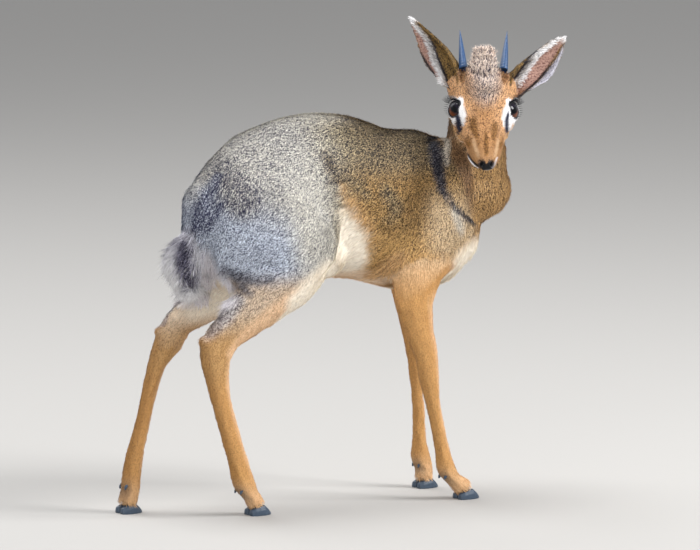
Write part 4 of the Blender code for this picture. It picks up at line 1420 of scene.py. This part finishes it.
def makeHorn(name, finish):
    # from a root under the skin, round a slight bend at the skin, straight to the tip
    corners = pointsOf(nodes[name].data)
    tip = corners[np.linalg.norm(corners - headMiddle, axis=1).argmax()]
    side = sides[name.split("_")[1]]
    root, bend = [fromHead(np.array(spot) * (1, side, 1)) for spot in (hornLook["root"], hornLook["bend"])]
    axis = Vector(tip - bend).normalized()
    one = axis.cross(Vector(headAxes[:, 1])).normalized()
    two = axis.cross(one)
    mesh = bmesh.new()
    rings = []
    for k in range(hornLook["steps"]):
        t = k / (hornLook["steps"] - 1)
        low = hornLook["buried"]
        middle = root + (bend - root) * t / low if t < low else bend + (tip - bend) * (t - low) / (1 - low)
        radius = hornLook["radius"] * mm * (1 - t**1.7) + hornLook["tip"] * mm
        ripple = math.sin(t / hornLook["reach"] * hornLook["rings"] * 2 * math.pi)
        fade = max(0.0, 1 - t / hornLook["reach"]) ** 0.5
        radius *= 1 + hornLook["ridge"] * ripple * fade * (t > 0.04)
        turns = [2 * math.pi * j / hornLook["around"] for j in range(hornLook["around"])]
        around = [(one * math.cos(turn) + two * math.sin(turn) * hornLook["flat"]) * radius for turn in turns]
        rings.append([mesh.verts.new(Vector(middle) + out) for out in around])
    joinRings(mesh, rings)
    mesh.faces.new(rings[0][::-1])
    mesh.faces.new(rings[-1])
    placed("spike_" + name, mesh, finish, [name])


hornMaterial = grainFinish("horn", hornFinish)
for side in sides:
    makeHorn("horn_" + side, hornMaterial)

hoofLook = {
    "grain": 0.6, "rounds": 6,  # mm between points, and rounds of smoothing
    "sole": 0.4,  # mm from the floor at which a claw is flat
    "dewclaw": 0.62,  # size of a dewclaw, as a share of its solid's
    "heel": (0.6, 0.78, 1.0, 1.0),  # height of a claw from heel to toe, as a share of its solid's
}
hoofFinish = {
    "roughness": 0.4, "stretch": (1.0, 1.0, 3.0), "scale": 500, "relief": 0.15,
    "tones": ((24, 34, 48), (76, 94, 114)),
}


def smoothCopy(names):
    # CAD solids remeshed fine and smoothed, each kept to its own box, with its sole flat
    whole = bmesh.new()
    for name in names:
        solid = newObject(name + "_copy", nodes[name].data.copy())
        mesh = fused(solid, hoofLook["grain"])
        before = pointsOf(nodes[name].data)
        moved = soften(pointsOf(mesh), edgesOf(mesh), hoofLook["rounds"], swell=0.5)
        low, high = moved.min(0), moved.max(0)
        share = (moved - low) / (high - low)
        size = np.ptp(before, axis=0) * (hoofLook["dewclaw"] if "dewclaw" in name else 1)
        centre = (before.min(0) + before.max(0)) / 2
        moved = centre + (share - 0.5) * size
        if "dewclaw" not in name:
            moved[:, 2] *= np.interp(share[:, 0], (0, 0.35, 0.7, 1), hoofLook["heel"])
        moved[:, 2] = np.where(moved[:, 2] < hoofLook["sole"] * mm, 0, moved[:, 2])
        placePoints(mesh, moved)
        whole.from_mesh(mesh)
        bpy.data.objects.remove(solid)
    return whole


hoofMaterial = grainFinish("hoof", hoofFinish)
for foot in ("forefoot_right", "forefoot_left", "hindfoot_right", "hindfoot_left"):
    names = [n for n in sorted(nodes) if n.startswith(foot)]
    placed("hooves_" + foot, smoothCopy(names), hoofMaterial, names)

# floor, light and camera

stage = {
    "azimuth": -30, "elevation": 7,  # degrees
    "distance": 6.0, "aim": (0, 0.0006, 0.2336), "acrossView": 0.7,  # metres
    "sensor": 36,
    "lightAim": (0, 0, 0.25), "world": 0.58, "sky": (0.93, 0.94, 0.96),
    "floor": 40, "floorColour": (0.45, 0.44, 0.425),
}
lights = {
    # watts, and size and place in metres
    "key": (110, 1.3, (1.9, -1.9, 2.3)),
    "top": (62, 1.6, (-0.3, 0.5, 3.2)),
    "fill": (44, 2.5, (-2.2, -2.6, 0.9)),
    "rim": (29, 2.0, (-0.8, 2.6, 2.4)),
}


def aimed(name, data, place, back):
    # a camera or a lamp that looks the opposite way to back
    made = newObject(name, data)
    made.location = place
    made.rotation_euler = back.to_track_quat("Z", "Y").to_euler()
    return made


def makeCamera():
    azimuth, elevation = [math.radians(stage[angle]) for angle in ("azimuth", "elevation")]
    flat = math.cos(elevation)
    back = Vector((math.sin(azimuth) * flat, -math.cos(azimuth) * flat, math.sin(elevation)))
    camera = bpy.data.cameras.new("camera")
    camera.sensor_width = stage["sensor"]
    camera.lens = stage["sensor"] * stage["distance"] / stage["acrossView"]
    place = Vector(stage["aim"]) + back * stage["distance"]
    bpy.context.scene.camera = aimed("camera", camera, place, back)


def makeLight(name, power, size, place):
    light = bpy.data.lights.new(name, "AREA")
    light.energy = power
    light.size = size
    aimed(name, light, place, Vector(place) - Vector(stage["lightAim"]))


def makeWorld():
    world = bpy.data.worlds.new("studio")
    world.use_nodes = True
    background = world.node_tree.nodes["Background"].inputs
    background["Color"].default_value = (*stage["sky"], 1)
    background["Strength"].default_value = stage["world"]
    bpy.context.scene.world = world


def makeFloor():
    ground = bmesh.new()
    bmesh.ops.create_grid(ground, x_segments=1, y_segments=1, size=stage["floor"])
    floor = newObject("floor", settled(ground, "floor"))
    floor.data.materials.append(plainFinish("floor", stage["floorColour"], roughness=0.8, specular=0.2))


print("setting the stage")
makeCamera()
for name, settings in lights.items():
    makeLight(name, *settings)
bpy.context.scene.view_settings.view_transform = "Standard"
makeWorld()
makeFloor()
